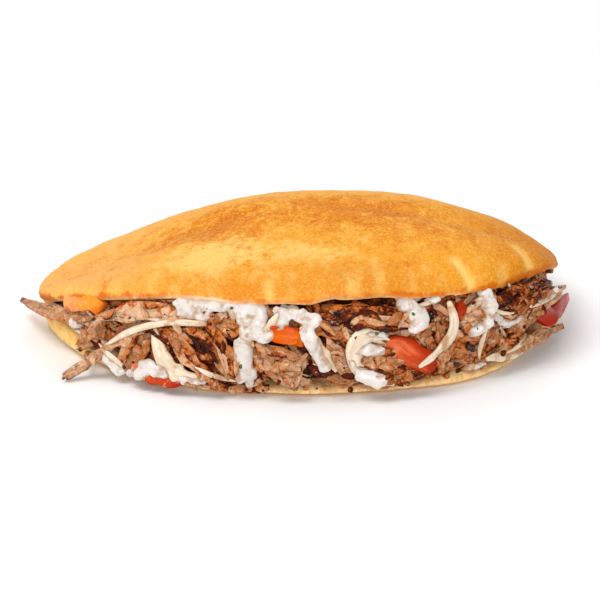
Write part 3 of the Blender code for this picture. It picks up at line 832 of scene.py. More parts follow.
# %% The large slices
# Slice number: browned, smeared, width.
SLICES = {1: (0.20, 0.1, 0.75), 2: (0.02, 0.3, 0.95), 3: (0.40, 0.1, 1.1), 4: (0.34, 0.1, 1.05),
          5: (0.40, 0.1, 1.1), 6: (0.54, 0.0, 1.0), 7: (0.74, 0.0, 1.05), 8: (0.24, 0.3, 0.8),
          9: (0.44, 0.2, 1.0), 10: (0.80, 0.0, 1.1), 11: (0.50, 0.0, 1.1), 12: (0.62, 0.0, 1.0),
          13: (0.16, 0.45, 1.1), 14: (0.80, 0.1, 1.1), 15: (0.22, 0.35, 1.0), 16: (0.14, 0.15, 0.8)}
for number, (brownness, sauced, breadth) in SLICES.items():
    form = fine_forms[number % len(fine_forms)]
    mark = (brownness, 0.59 * number % 1.0, sauced)
    lay_piece(f"meat_{number}", form, meat, "meat", mark, width=breadth, round_off=0.3)
meat_slices = list(laid_pieces)
print("laid", len(SLICES), "slices on the heap's core")

# %% [markdown]
# Cabbage shreds are smoother than meat: bars of even thickness with rounded edges. The form starts as
# the same grid, and a subdivision rounds its edges. A tomato wedge is a broader bar whose one long side
# is thin, as when it is cut from a round fruit. Carrot sticks and chunks come off the knife as blocks
# with crisp edges and slanting ends.

# %% Forms of cabbage, tomato and carrot
def strip_form(name, along, across, waver, thin_side=0.0):
    """A smooth bar, 1 long, 1 wide and 1 thick."""
    form = thick_grid(name, along, across, ((0.35, waver, "Y", len(name)),), 0.96)
    shift_cloud(form, 0.3, waver, "Z", len(name) + 2)
    shape(form, "SUBSURF", levels=1, render_levels=1)
    corners = corners_of(form.data)
    corners[:, 2] *= 1 - thin_side * (0.5 + corners[:, 1])
    move_corners(form.data, corners)
    return form


def block_form(name, splay):
    """A knife-cut block, 1 long, 1 wide and 1 thick, with crisp edges and slanting ends."""
    form = thick_grid(name, 18, 8, ((0.5, 0.12, "Y", len(name)),), 0.96)
    shift_cloud(form, 0.6, 0.15, "Z", len(name) + 2)
    shape(form, "BEVEL", width=0.05, segments=2, limit_method="ANGLE", angle_limit=math.radians(50))
    corners = corners_of(form.data)
    corners[:, 0] *= 1 + splay * corners[:, 1] + 0.15 * corners[:, 2]
    move_corners(form.data, corners)
    return form


cabbage_form = strip_form("cabbage_form", 22, 3, 0.16)
wedge_form = strip_form("wedge_form", 16, 6, 0.22, 0.55)
stick_form = block_form("stick_form", 0.3)
chunk_form = block_form("chunk_form", -0.1)
print("vegetable forms:", cabbage_form.name, wedge_form.name, stick_form.name, chunk_form.name)

# %% [markdown]
# White cabbage is creamy and lets some light through. Its thin edges look whiter, its ribs a little
# yellow-green, and meat juice has stained it in places, most of all where it lies among the meat.

# %% Cabbage
cabbage = Finish("white cabbage", Roughness=0.35, Specular_IOR_Level=0.3,
                 Subsurface_Weight=0.25, Subsurface_Scale=2 * MM)
run, wide = strip_axes(cabbage)
shift = cabbage.attribute("shift")
rib = cabbage.noise(1.1, 2, 0.5, 0.2, cabbage.vector(run * 0.1, wide + shift * 30.0, shift * 70.0))
stain = cabbage.noise(5 * MM, 4, 0.6)
# These cream tones are set darker than the leaf's own, as painted shade of the lip over the mouth.
leaf = cabbage.layers(
    (226, 209, 186),
    ((208, 188, 158), rib.between(0.4, 0.65)),
    ((200, 182, 138), (shift - 0.5 + (stain - 0.5)).between(0.1, 0.5) * 0.5),
    ((184, 140, 100), (stain + cabbage.attribute("browned") * 0.3).between(0.54, 0.74)))
cabbage.feed("Base Color", leaf)
cabbage.feed("Normal", cabbage.bump(rib, 0.35 * MM, 0.6))
# Shred number: how stained, and the width against its solid.
CABBAGES = {1: (0.1, 0.75), 2: (0.1, 1.0), 3: (0.25, 0.9), 4: (0.1, 0.9), 5: (0.1, 1.3), 6: (0.1, 0.9),
            7: (0.25, 1.0)}
for number, (stained, breadth) in CABBAGES.items():
    mark = (stained, 0.23 * number % 1.0, 0.0)
    lay_piece(f"cabbage_{number}", cabbage_form, cabbage, "cabbage", mark, width=breadth, round_off=0.45)

# %% [markdown]
# Tomato is glossy and wet, deep orange-red at its skin and paler towards the juicy middle. Carrot is
# a clear orange with faint lengthwise lines. Both are smeared with sauce in places. The browned number
# says here how ripe a piece is: an orange chunk has a high one, a deep red wedge has one below 0.

# %% Tomato and carrot
def juicy(name, skin, flesh_tone, pale_tone):
    """A finish for wet pieces of fruit or root."""
    made = Finish(name, Roughness=0.36, Specular_IOR_Level=0.08, Coat_Weight=0.06, Coat_Roughness=0.12,
                  Subsurface_Weight=0.08, Subsurface_Scale=2 * MM)
    run, wide = strip_axes(made)
    line = made.noise(1.3, 3, 0.5, 0.4, made.vector(run * 0.15, wide, made.attribute("shift") * 80.0))
    cloud = made.noise(4 * MM, 3, 0.6)
    unripe = made.mix((246, 142, 40), (250, 158, 92), (cloud + run * 0.03).between(0.4, 0.6))
    orange = made.attribute("browned") - 0.5 + run * 0.03 + (cloud - 0.5) * 0.4
    film = (made.attribute("smeared") + (cloud - 0.5) * 2.0).between(0.4, 0.7)
    made.feed("Base Color", made.layers(
        flesh_tone,
        (pale_tone, (line * 0.6 + cloud * 0.4 + run * 0.012).between(0.42, 0.66)),
        (skin, (wide * -0.25 + (cloud - 0.5)).between(0.25, 0.6)),
        ((162, 36, 0), (orange * -1.0).between(0.45, 0.75)),
        (unripe, orange.between(0.0, 0.3)),
        ((228, 198, 178), film * 0.8)))
    made.feed("Normal", made.bump(line + cloud, 0.4 * MM, 0.5))
    return made


tomato = juicy("tomato", (170, 42, 6), (192, 68, 24), (216, 104, 56))
carrot = juicy("carrot", (190, 62, 0), (202, 80, 0), (222, 108, 6))
# Tomato number: width, how orange (below 0, deep red), smeared.
WEDGES = {1: (0.85, 1.0, 0.0), 2: (1.5, 0.1, 0.3), 3: (1.0, 0.05, 0.0), 4: (1.0, -0.1, 0.0),
          5: (0.9, -0.7, -0.4)}
for number, (breadth, orange, sauced) in WEDGES.items():
    form = chunk_form if number == 1 else wedge_form
    mark = (orange, 0.31 * number % 1.0, sauced)
    evenly = {"round_off": 0.0, "steady": 1.0} if number == 1 else {}
    lay_piece(f"tomato_{number}", form, tomato, "tomato", mark, width=breadth, **evenly)
lay_piece("carrot_1", stick_form, carrot, "carrot", (0.2, 0.5, 0.0), width=1.1, round_off=0.05, steady=0.6)

# %% [markdown]
# The rest of the filling is placed the way a cook looks at it, from the front: so many millimetres to
# the right of the mouth's middle and so many above the table. A line from the eye through that point
# of the mouth meets the heap somewhere, and there the shred lies.

# %% Placing things by eye
EYE = camera.location.copy()


def surface_of(*pieces):
    """The given pieces as one surface that lines can be cast at."""
    corners, faces = [], []
    for piece in pieces:
        start = len(corners)
        corners += [corner.co.copy() for corner in piece.data.vertices]
        faces += [[start + corner for corner in face.vertices] for face in piece.data.polygons]
    return BVHTree.FromPolygons(corners, faces)


def mouth_place(across, height):
    """A point of the mouth, in millimetres right of its middle and above the table."""
    share = min(abs(across * MM) / HALF_LENGTH, 0.999)
    return MOUTH_MIDDLE + Vector((across * MM, -HALF_DEPTH * math.sqrt(1 - share**2), height * MM))


def seen(surface, across, height, depth=14 * MM):
    """Where the line of sight through a point of the mouth meets the surface, or nothing."""
    aim = mouth_place(across, height)
    place, normal, _, far = surface.ray_cast(EYE, (aim - EYE).normalized())
    if place is None or abs(far - (aim - EYE).length) > depth:
        return None, None
    return place, normal


heap_front = surface_of(core)
print("middle of the heap seen at:", [round(part / MM) for part in seen(heap_front, 0, 20)[0]])

# %% [markdown]
# The path of a shred is found at seven stops, so it drapes over whatever is under it. Round the
# sides, which the eye can't see, the lines come in level from outside.

# %% Paths over a surface
STOPS = np.linspace(-0.5, 0.5, 7)
# How blunt a draped strip's ends are, and how much it turns its broad face with the surface.
BLUNTNESS = 0.35
TURN_WITH_SURFACE = 0.6


def draped(middles, outs, width, thickness):
    """A spine through places on a surface, narrow at both ends, or nothing if they are too few."""
    if len(middles) < len(STOPS) - 2:
        return None
    middles, outs = np.array(middles), np.array(outs)
    for values in (middles, middles, outs, outs, outs):
        even_out(values)
    sides = unit_rows(np.cross(np.gradient(middles, axis=0), outs))
    swell = np.sin(np.linspace(BLUNTNESS, math.pi - BLUNTNESS, len(middles))) ** 0.7
    return Spine(middles, sides, 0.5 * width * MM * swell, 0.5 * thickness * MM * swell, 14)


def path_over(surface, across, height, slope, length, lift, width, thickness, tuck=0.0, bow=0.0):
    """The spine of a strip that lies on the surface, or nothing where the surface ends."""
    middles, outs = [], []
    turn = math.radians(slope)
    for share in STOPS:
        off, rise = share * length, bow * (1 - 4 * share**2)
        right = across + off * math.cos(turn) - rise * math.sin(turn)
        up = height + off * math.sin(turn) + rise * math.cos(turn)
        place, normal = seen(surface, right, up)
        if place is not None:
            outs.append(np.array(normal * TURN_WITH_SURFACE + (EYE - place).normalized()))
            middles.append(np.array(place) + outs[-1] * (lift - tuck * share) * MM)
    return draped(middles, outs, width, thickness)


def path_around(surface, angle, height, slope, length, lift, width, thickness):
    """The same round the sides, where the line comes in level from outside at an angle round the bread."""
    middles, outs = [], []
    turn = math.radians(slope)
    for share in STOPS:
        round_by = math.radians(angle) + share * length * math.cos(turn) * MM / HALF_DEPTH
        rise = (height + share * length * math.sin(turn)) * MM
        out = Vector((math.cos(round_by) * HALF_LENGTH, math.sin(round_by) * HALF_DEPTH, 0))
        place, normal, _, far = surface.ray_cast(MIDDLE + out * 1.3 + Vector((0, 0, rise)), -out.normalized())
        if place is not None and far < 0.75 * out.length:
            outs.append(np.array(normal * TURN_WITH_SURFACE + out.normalized()))
            middles.append(np.array(place) + outs[-1] * lift * MM)
    return draped(middles, outs, width, thickness)


level = path_over(heap_front, 0, 20, 0, 30, 0, 4, 1)
print("30 mm across the heap's front is a path of", round(level.length / MM, 1), "mm")

# %% [markdown]
# Small shreds fill the heap between the large slices. A first layer is strewn over the whole front,
# mostly lying along the mouth, as the packing of the bread leaves them. Chance picks each one's place
# and size, from a fixed start, so that every run gives the same sandwich.

# %% The first layer of shreds
STREWN_COUNT = 190
chance = random.Random(11)
draw = chance.uniform
# Parts of the mouth: right of the middle, above the table, half sizes, and how dark the meat is. The
# dark part near the middle and the one low under the tomatoes are painted shade.
PARTS = ((26, 30.5, 20, 4.5, 0.9), (81, 27, 12, 5, 0.85), (-33, 16, 10, 8, 0.8), (-52, 33, 12, 2, 0.7),
         (-4, 21, 8, 2.5, 0.8), (5, 11, 4, 4, 0.9), (65, 13, 10, 5, 0.65), (38, 6.5, 9, 3, 0.85),
         (-7, 12, 7, 7, 0.12), (16, 11, 5, 8, 0.15), (65, 27, 5, 5, 0.1), (92, 9, 12, 4, 0.15),
         (-88, 16, 22, 9, 0.2), (-14, 29, 12, 5, 0.2), (48, 17, 6, 4, 0.5))


def brownness_and_shade_at(across, height):
    """How dark a shred is: by chance, but drawn to what its part of the mouth is like. In some parts that
    darkness is painted shade.
    """
    value = chance.choice((0.12, 0.25, 0.35, 0.5, 0.65))
    for right, up, half_across, half_up, own in PARTS:
        away = ((across - right) / half_across) ** 2 + ((height - up) / half_up) ** 2
        if away < 1.2 and chance.random() < 0.8:
            value = own + draw(-0.15, 0.12)
    return value


def along_mouth(reach, first=4, last=176):
    """A place by chance on the mouth's curve, so many millimetres right of the middle."""
    return reach * math.cos(math.radians(draw(first, last)))


strewn = Pile()
while strewn.count < STREWN_COUNT * len(small_forms[0].data.vertices):
    across, height = along_mouth(97), draw(3, 36)
    slope = chance.gauss(0, 28) + (chance.random() < 0.25) * 70
    path = path_over(heap_front, across, height, slope, draw(8, 20), draw(0.4, 1.4), draw(2.2, 4.8),
                     draw(0.9, 1.7), draw(-1.6, 1.6), draw(-1.5, 1.5))
    if path:
        # The first layer gets a quarter more browning, as painted shade in the gaps under the shreds on top.
        mark = (brownness_and_shade_at(across, height) + 0.25, chance.random(), 0.3 * (chance.random() < 0.2))
        strewn.lay(chance.choice(small_forms), path, mark, twist=draw(-0.6, 0.6))
print("corners strewn over the front:", strewn.count)

# %% [markdown]
# The same layer goes on round both sides as far as the fold. The split ends there in narrow gaps, and
# a few broad shreds close them. Angles go round the bread from its right end.

# %% Shreds round the sides
SIDE_COUNT = 260
# Shreds at the ends of the fold: angle, above the table, lift off the heap.
FOLD_ENDS = ((168, 6, 3.5), (166, 5.6, 2), (172, 6.5, 1), (12, 13, 3), (16, 11, 3), (18, 13, 4), (20, 10, 4),
             (22, 12, 5), (25, 11, 5), (28, 12, 5), (31, 12, 6), (14, 8, 2), (22, 7, 3))
for _ in range(SIDE_COUNT):
    angle = chance.choice((draw(-32, 22), draw(166, 206)))
    path = path_around(heap_front, angle, draw(3, 27), chance.gauss(0, 26), draw(8, 18), draw(0.3, 1.2),
                       draw(2.2, 4.6), draw(0.9, 1.7))
    if path:
        mark = (chance.choice((0.15, 0.3, 0.5, 0.7)), chance.random(), 0.0)
        strewn.lay(chance.choice(small_forms), path, mark, twist=draw(-0.6, 0.6))
for angle, height, lift in FOLD_ENDS:
    path = path_around(heap_front, angle, height, chance.gauss(0, 8), draw(10, 15), lift, 5.5, 3.0)
    if path:
        form = chance.choice(medium_forms)
        strewn.lay(form, path, (0.3, chance.random(), 0.0), twist=draw(-0.4, 0.4))
strewn = strewn.make("strewn_shreds")
settle(strewn, meat, "meat")

# %% [markdown]
# The shreds that catch the eye are listed one by one: where its middle is, how steeply it lies, its
# length and width, how browned it is and how much sauce is on it. They lie on the first layer and the
# large slices. The low ones may hang over the rim of the bread as well.

# %% The shreds that catch the eye
# Each: right of the middle, above the table, slope, length, width, browned, smeared.
SHREDS = (
    (-84, 14, -25, 14, 3.6, 0.2, 0.6), (-61, 30, 10, 24, 3, 0.6, 0), (-46, 33.5, -3, 24, 3.6, 0.7, 0),
    (-64, 18, 30, 20, 4, 0.5, 0), (-54, 23, 16, 20, 3.2, 0.75, 0), (-62, 12, 62, 16, 3.6, 0.5, 0),
    (-73, 8, -45, 9, 3, 0.8, 0), (-75, 17, 60, 14, 3.4, 0.45, 0), (-80, 19, -12, 18, 4, 0.2, 0.1),
    (-70, 12, 40, 12, 3.4, 0.3, 0.1), (-50, 20, -30, 12, 4, 0.75, 0), (-44, 21, -12, 12, 4, 0.6, 0),
    (-41, 17, -52, 16, 3.4, 0.7, 0), (-36, 20, -45, 18, 4.4, 0.95, 0), (-30, 22, -55, 14, 3.6, 0.7, 0),
    (-28, 16, -72, 14, 3, 0.35, 0.1), (-26, 11, -50, 14, 3.6, 0.3, 0.1), (-24, 6, -18, 13, 3.6, 0.5, 0),
    (-36, 7, -30, 16, 3.6, 0.55, 0), (-30, 4.5, -14, 17, 3.2, 0.75, 0), (-17, 4, -2, 11, 3, 0.9, 0),
    (-43, 9, -40, 14, 3.4, 0.4, 0.2), (-17, 13, -84, 14, 3.2, 0.7, 0), (-16, 21, -62, 12, 4, 0.35, 0.1),
    (-13, 13, -48, 15, 3.6, 0.25, 0.1), (-8, 10, -40, 14, 3.2, 0.2, 0.2), (-4, 7, -58, 12, 3, 0.55, 0),
    (-14, 8, -70, 11, 2.8, 0.85, 0), (-9, 19, -12, 14, 3.6, 0.6, 0), (-3, 17, 12, 12, 3.6, 0.45, 0.1),
    (2, 10, -80, 16, 4.4, 0.3, 0), (3, 17, -74, 17, 3.6, 0.95, 0), (-1, 20, -60, 13, 3.4, 0.5, 0),
    (7, 11, -22, 9, 4, 1, 0), (13, 18, -68, 15, 4.4, 0.3, 0.1), (16, 19, -82, 14, 3.2, 0.6, 0),
    (14, 11, -60, 14, 4, 0.25, 0.1), (15, 7.5, -8, 12, 3.4, 0.35, 0.3), (9, 5.5, -14, 13, 3.6, 0.3, 0.1),
    (18, 11, 5, 8, 4.6, 0.95, 0), (11, 28.5, -24, 22, 3.2, 0.1, 0.5), (13, 24, -42, 18, 4.2, 0.7, 0),
    (8, 30, -10, 16, 3.6, 0.45, 0.1), (36, 28, -12, 26, 3.4, 0.1, 0.3), (30, 26.5, -8, 22, 3, 0.6, 0),
    (26, 33, -6, 22, 3.8, 0.8, 0), (44, 22, -60, 13, 3.4, 0.55, 0), (52, 25, -62, 14, 3.6, 0.5, 0),
    (50, 31, 76, 11, 3, 0.6, 0), (48, 20, -30, 12, 3.6, 0.8, 0), (60, 18, -22, 11, 4.4, 0.6, 0),
    (60, 13, 12, 13, 4.4, 0.5, 0.1), (57, 10, 32, 12, 3.4, 0.75, 0), (64, 14, 58, 14, 3.4, 0.3, 0.2),
    (69, 12, 30, 14, 3.4, 0.35, 0), (66, 9, 14, 13, 3.2, 0.6, 0), (62, 7, 4, 12, 3, 0.45, 0),
    (55, 6.5, 12, 13, 3.4, 0.6, 0), (71, 18, 22, 15, 3.6, 0.4, 0), (77, 15, 26, 16, 3.4, 0.7, 0),
    (74, 29, 16, 16, 4.4, 0.95, 0), (82, 27.5, 24, 16, 4.2, 0.6, 0), (87, 24, 36, 14, 3.4, 0.35, 0.1),
    (78, 22, 10, 14, 4.4, 0.75, 0), (91, 22, 42, 12, 3.2, 0.3, 0.3), (85, 15, 22, 16, 3.6, 0.45, 0),
    (79, 11, 25, 15, 3.6, 0.8, 0), (88, 12, 30, 14, 3.4, 0.4, 0.1), (30, 6, -3, 19, 3.4, 0.65, 0),
    (40, 6.5, 6, 16, 3.2, 0.5, 0), (48, 7, 10, 15, 3.2, 0.8, 0), (22, 5, 0, 11, 3, 0.5, 0),
    (34, 10, 4, 16, 3.4, 0.75, 0), (45, 12, -30, 14, 3.2, 0.7, 0), (-52, 11, 70, 14, 3.4, 0.6, 0),
    (-47, 14, -70, 14, 3, 0.8, 0), (57, 28, -80, 12, 3.2, 0.2, 0.4), (70, 8, 18, 14, 3, 0.35, 0.3))
front_layer = surface_of(strewn, *meat_slices)
low_layer = surface_of(strewn, bread, *meat_slices)
LOW = 18
LARGER = 1.1
shreds = Pile()
for number, (across, height, slope, length, width, brownness, sauced) in enumerate(SHREDS):
    layer = low_layer if height < LOW else front_layer
    path = path_over(layer, across, height, slope, length * LARGER, 0.2, width * LARGER,
                     draw(1.0, 1.6), draw(-1.2, 1.2), draw(-1.5, 1.5))
    if not path:
        print("no room for shred", number)
        continue
    form = medium_forms[number % len(medium_forms)]
    shreds.lay(form, path, (brownness, chance.random(), sauced), twist=draw(-0.7, 0.7))
shreds = shreds.make("shreds")
settle(shreds, meat, "meat")

# %% [markdown]
# Thin flakes have come off the slices and lie on them like leaves, curled and with an edge in the
# air. They break up the broad faces. Some have fallen on the rim of the bread below.

# %% Flakes on the slices and on the rim
FLAKE_TRIES = 400
# Few flakes lie left of the first place, and none on the rim right of the second.
SPARSE_LEFT, RIM_CLEAR_RIGHT = -38, 34


def flake_on(surface, across, height, lowest, highest):
    """The path and the mark of one flake, or nothing if it would lie outside the two heights."""
    place, _ = seen(surface, across, height)
    if place is None or not lowest * MM < place.z < highest * MM:
        return None, None
    path = path_over(surface, across, height, chance.gauss(-10, 45), draw(3.5, 10), draw(0.1, 0.6),
                     draw(1.6, 3.8), draw(0.5, 1.0), draw(-1.5, 1.5), draw(-1.5, 1.5))
    return path, (brownness_and_shade_at(across, height), chance.random(), 0.35 * (chance.random() < 0.2))


meat_front = surface_of(strewn, shreds, *meat_slices)
low_front = surface_of(strewn, shreds, bread, *meat_slices)
flakes = Pile()
for number in range(FLAKE_TRIES):
    across = along_mouth(98, 3, 177)
    if across < SPARSE_LEFT and chance.random() < 0.7:
        continue
    if number % 4 or across > RIM_CLEAR_RIGHT:
        path, mark = flake_on(meat_front, across, draw(3, 35), 3, 40)
    else:
        path, mark = flake_on(low_front, across, draw(-1, 5), 1.5, 7)
    if path:
        flakes.lay(chance.choice(flake_forms), path, mark, twist=draw(-1.4, 1.4))
flakes = flakes.make("flakes")
settle(flakes, meat, "meat")

# %% [markdown]
# Thin shreds of the same cabbage lie between the meat, some listed where they show most and some
# strewn by chance.

# %% Thin shreds of cabbage
# Each: right of the middle, above the table, slope, length, width.
THREADS = ((-30, 38, -3, 22, 2), (-30, 8, -14, 15, 2), (66, 13, 75, 12, 1.9), (46, 34, 14, 14, 1.9),
           (26, 22, -30, 14, 2.2), (80, 8, 14, 16, 2.6), (-68, 7, -30, 12, 2), (21, 13, 84, 12, 2.4),
           (72, 24, -30, 14, 1.7), (-20, 34, -8, 16, 2), (38, 36, -4, 10, 2), (91, 18.5, -15, 15, 3))
STRAY_COUNT = 6
threads = Pile()
for across, height, slope, length, width in THREADS:
    path = path_over(meat_front, across, height, slope, length, 0.8, width, 1.1, 0.6, draw(-1, 1))
    if path:
        threads.lay(cabbage_form, path, (0.2, chance.random(), 0.0), round_off=0.5)
thin_form = strip_form("thin_cabbage_form", 7, 2, 0.15)
for _ in range(STRAY_COUNT):
    across, height = along_mouth(94), draw(4, 34)
    path = path_over(meat_front, across, height, draw(-80, 80), draw(5, 12), 0.5, draw(1.0, 1.8), 0.9,
                     draw(-1.5, 1.5), draw(-1.5, 1.5))
    if path:
        threads.lay(thin_form, path, (0.5, chance.random(), 0.0), round_off=0.5)
threads = threads.make("cabbage_threads")
settle(threads, cabbage, "cabbage")

# %% [markdown]
# The garlic sauce was spooned in last, so it lies over everything, hangs in thick drops from the lip
# and bridges the gaps. It is laid as strokes of many flattened drops, each where a line of sight meets
# the filling. The drops of a stroke share their depth with their neighbours, so the sauce spans the
# gaps. Nothing is laid where the lip hides it.

# %% Drops of sauce along strokes
# Each stroke: its half width, how closely it covers, and its points right of the middle and above the table.
STROKES = (
    (2.5, 0.9, ((-43, 32.5), (-38, 34.5), (-30, 35.5), (-22, 35), (-14, 34))),
    (1.8, 0.8, ((-42, 30.5), (-37, 30), (-32, 29))),
    (3, 0.95, ((-22, 33), (-20, 31), (-17, 27), (-12, 24.5))), (2.4, 0.9, ((-15, 34), (-14, 30), (-15, 26))),
    (3, 1, ((-20, 22), (-20, 18), (-20, 13), (-20, 7))), (2.4, 0.8, ((-18, 13), (-18, 9))),
    (2.4, 0.8, ((-7, 35), (-6, 32), (-7, 28))), (2.2, 0.7, ((-3, 34), (1, 32), (6, 30))),
    (2.3, 1, ((2, 26), (4, 22), (7, 17), (10, 12))), (1.2, 0.6, ((22, 24), (28, 24), (31, 22))),
    (1.2, 0.5, ((18, 15), (20, 9))), (2, 0.95, ((21, 18), (25, 18), (29, 17))),
    (2.3, 1, ((21, 9), (25, 7), (29, 5))), (2.6, 1, ((36, 34.5), (39, 32), (41, 29))),
    (3.2, 1, ((41, 30), (42, 27), (42, 25))), (1.5, 0.9, ((45, 34), (49, 34))),
    (2.4, 0.95, ((66, 32), (67.5, 28), (69, 25))), (2.2, 0.95, ((61, 19), (65, 19.5), (68, 21))),
    (1.4, 0.8, ((69, 24), (73, 19), (79, 17))), (1.4, 0.7, ((73, 17.5), (77, 17), (83, 18))),
    (1.4, 0.9, ((94, 20), (97, 18))), (1.5, 0.95, ((63, 5), (67, 4))), (1.5, 0.9, ((4, 5), (8, 4))),
    (2.4, 0.9, ((-70, 6), (-67, 4), (-64, 2))), (2.2, 0.9, ((-64, 1), (-60, 1.5), (-56, 4))),
    (2.2, 0.8, ((-56, 8), (-52, 6), (-49, 6))), (1.6, 0.8, ((-43, 4), (-38, 5), (-34, 5))),
    (1.8, 0.7, ((-84, 14), (-80, 15))), (1.2, 0.7, ((34, 38), (39, 37))),
    (1.2, 0.6, ((67, 34), (72, 34), (76, 33))))
DROPS_PER_AREA = 3.2
LARGEST_DROP = 2.8
NEIGHBOURHOOD = 3.2
melt = surface_of(strewn, shreds, flakes, threads, *laid_pieces)
lip_front = surface_of(bread)


def drops_along(half_width, cover, points):
    """Places, directions and sizes of the drops of one stroke."""
    points = np.array(points, dtype=float)
    steps = np.linalg.norm(np.diff(points, axis=0), axis=1)
    length = float(steps.sum())
    shares = np.concatenate([[0], np.cumsum(steps)]) / length
    found = []
    for _ in range(int(length * half_width * DROPS_PER_AREA * cover) + 6):
        share, off = chance.random(), draw(-1, 1)
        right, up = (float(np.interp(share, shares, points[:, axis])) for axis in range(2))
        right, up = right + off * half_width * 0.8, up + draw(-0.6, 0.6) * half_width
        place, _ = seen(melt, right, up)
        if place is None:
            continue
        aim = (place - EYE).normalized()
        lip_far = lip_front.ray_cast(EYE, aim)[3]
        if lip_far is None or lip_far > (place - EYE).length:
            size = draw(0.8, 1.0) * min(half_width, LARGEST_DROP) * (1.1 - 0.4 * abs(off))
            found.append((np.array([right, up]), np.array(aim), (place - EYE).length, size * MM))
    settled = []
    for where, aim, far, size in found:
        near = [other[2] for other in found if np.linalg.norm(other[0] - where) < NEIGHBOURHOOD]
        far = 0.55 * sum(near) / len(near) + 0.45 * min(near)
        settled.append((np.array(EYE) + aim * (far - 0.1 * size), aim, size))
    return settled


drops = [made for stroke in STROKES for made in drops_along(*stroke)]
print("drops of sauce:", len(drops))

# %% [markdown]
# A voxel remesh melts all the drops into one skin, and smoothing lets it run like thick sauce. Each
# corner of the skin then gets a mark that says how thin the sauce is there, from its distance to
# what lies under it.

# %% The sauce as one skin
SAUCE_GRAIN = 0.5 * MM
OPAQUE_DEPTH = 1.4 * MM
FLATTENED = 0.6
drop = fresh("drop", bpy.ops.mesh.primitive_ico_sphere_add, subdivisions=2, radius=1.0)
ball = corners_of(drop.data)
sauce = Pile()
for place, aim, size in drops:
    squash = ball - FLATTENED * (ball @ aim)[:, None] * aim
    sauce.add(place + squash * size, drop.data, (0, 0, 0), ball[:, :2])
sauce = sauce.make("garlic_sauce")
shape(sauce, "REMESH", mode="VOXEL", voxel_size=SAUCE_GRAIN)
shape(sauce, "SMOOTH", factor=0.5, iterations=24)
ruffle(sauce, 6 * MM, 0.3 * MM)
thickness = np.array([melt.find_nearest(Vector(place))[3] for place in corners_of(sauce.data)])
mark_corners(sauce.data, "thin", spread(sauce.data, 1 - np.clip(thickness / OPAQUE_DEPTH, 0, 1), 1))
print("faces of sauce:", len(sauce.data.polygons))

# %% [markdown]
# The sauce is off-white and glossy. Where it is thin the meat shows through and its juice has turned
# it tan, so the finish reads how far each corner stands off the meat.

# %% Sauce finish
white_sauce = Finish("garlic sauce", Roughness=0.26, Specular_IOR_Level=0.4, Coat_Weight=0.25,
                     Coat_Roughness=0.12, Subsurface_Weight=0.25, Subsurface_Scale=1.5 * MM)
juice = white_sauce.noise(4.5 * MM, 4, 0.6, 0.4)
curd = white_sauce.noise(1.2 * MM, 3, 0.6)
stain = curd * 0.3 + juice * 0.7
see_through = white_sauce.attribute("thin") * 0.9 + (stain - 0.5) * 1.6 - 0.2
# These grey-white tones are set darker than the sauce's own, as painted shade of the lip over the mouth.
white_sauce.feed("Base Color", white_sauce.layers(
    (212, 204, 197),
    ((188, 172, 157), stain.between(0.44, 0.64)),
    ((170, 126, 94), see_through.between(0.1, 0.65) * 0.8)))
white_sauce.feed("Normal", white_sauce.bump(curd * 0.15 + juice, 0.2 * MM, 0.4))
settle(sauce, white_sauce, None)

# %% [markdown]
# Last come the smallest things. One small lump is modelled and roughened, and every bit is a copy of
# it, turned and stretched by chance. Crumbs of meat and crust lie on the lower rim and where meat
# shows, and they keep off the sauce.

# %% Crumbs
lump_form = fresh("lump_form", bpy.ops.mesh.primitive_ico_sphere_add, subdivisions=2, radius=0.5)
ruffle(lump_form, 0.5, 0.5)
everything = surface_of(strewn, shreds, flakes, threads, sauce, bread, *laid_pieces)
sauce_skin = surface_of(sauce)
meat_face = surface_of(strewn, shreds, flakes, *meat_slices)
ON_BREAD, ON_MEAT, ON_SAUCE = 0.2 * MM, 0.3 * MM, 0.1 * MM
RIM_LOW, RIM_HIGH = 1.2 * MM, 7 * MM


def has_room(place, normal, on_meat):
    """Whether a lump may lie here: on the rim but not on the crust, and if need be only on meat."""
    if lip_front.find_nearest(place)[3] < ON_BREAD:
        if not RIM_LOW <= place.z <= RIM_HIGH or normal.z < 0:
            return False
    elif on_meat and meat_face.find_nearest(place)[3] > ON_MEAT:
        return False
    return not on_meat or sauce_skin.find_nearest(place)[3] >= ON_SAUCE


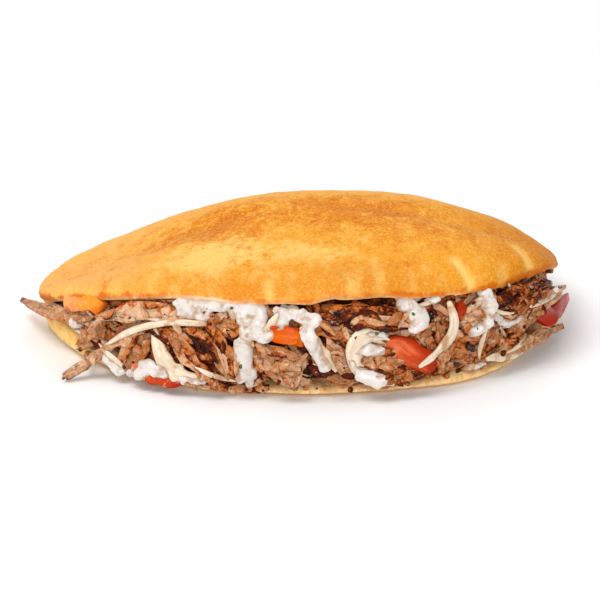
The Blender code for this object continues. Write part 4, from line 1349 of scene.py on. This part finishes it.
def strew(name, finish, slot, spots, thin=1.0, on_meat=True):
    """Lumps at spots: right of the middle, above the table, size and a mark."""
    pile = Pile()
    unit = corners_of(lump_form.data)
    for right, up, size, mark in spots:
        place, normal = seen(everything, right, up, 30 * MM)
        if place is None or not has_room(place, normal, on_meat):
            continue
        turn = np.array(Matrix.Rotation(draw(0, 6.28), 3, "Z"))
        stand = np.array(normal.to_track_quat("Z", "Y").to_matrix())
        stretch = np.array([draw(0.8, 1.6), draw(0.6, 1.1), thin * draw(0.6, 1.0)])
        middle = np.array(place + normal * size * thin * 0.2 * MM)
        corners = (unit * stretch * size * MM) @ turn.T @ stand.T + middle
        pile.add(corners, lump_form.data, mark, unit[:, :2] * size)
    settle(pile.make(name), finish, slot)


def by_chance(count, low, high, smallest, largest, brownness):
    """Spots strewn over the mouth between two heights."""
    spots = []
    for _ in range(count):
        across = along_mouth(92, 8, 160)
        mark = (chance.choice(brownness), chance.random(), 0.0)
        size = smallest + (largest - smallest) * chance.random() ** 2
        spots.append((across, draw(low, high), size, mark))
    return spots


crumbs = by_chance(70, 3, 8, 0.8, 3.0, (0.2, 0.45, 0.6, 0.9))
crumbs += by_chance(70, 8, 33, 0.9, 2.6, (0.3, 0.6, 0.95))
strew("crumbs", meat, "meat", crumbs, 0.8)

# %% [markdown]
# Flecks of green herb lie flat on the sauce and elsewhere, and black scorched bits on the meat. The
# ones that show most are listed, the others are strewn.

# %% Herbs and scorched bits
herb = Finish("chopped herb", Roughness=0.45)
herb.feed("Base Color", herb.mix((52, 58, 22), (92, 100, 44), herb.noise(0.8 * MM, 2).between(0.4, 0.6)))
# Flecks: right of the middle, above the table.
FLECKS = ((-21, 12), (27, 24), (50, 32), (72, 10), (14, 9), (40, 30), (22, 14), (-24, 34))
green = [(right, up, draw(0.8, 1.3), (0, 0, 0)) for right, up in FLECKS]
green += by_chance(10, 8, 33, 0.4, 0.9, (0.0,))
strew("herb_flecks", herb, None, green, 0.35, on_meat=False)
char = Finish("scorched bits", Roughness=0.35)
char.feed("Base Color", char.mix((22, 12, 10), (60, 26, 14), char.noise(0.9 * MM).between(0.45, 0.6)))
# Scorched bits: right of the middle, above the table, size.
SCORCHED = ((60.6, 13.2, 2.8), (62, 12.4, 2.6), (56, 7.5, 2), (-19, 3, 1.4), (6, 13, 2.4), (4, 10, 2),
            (30, 6, 1.6))
bits = [(right, up, size, (1, 0, 0)) for right, up, size in SCORCHED]
strew("scorched_bits", char, None, bits + by_chance(10, 6, 33, 0.4, 1.2, (1.0,)))

# %% [markdown]
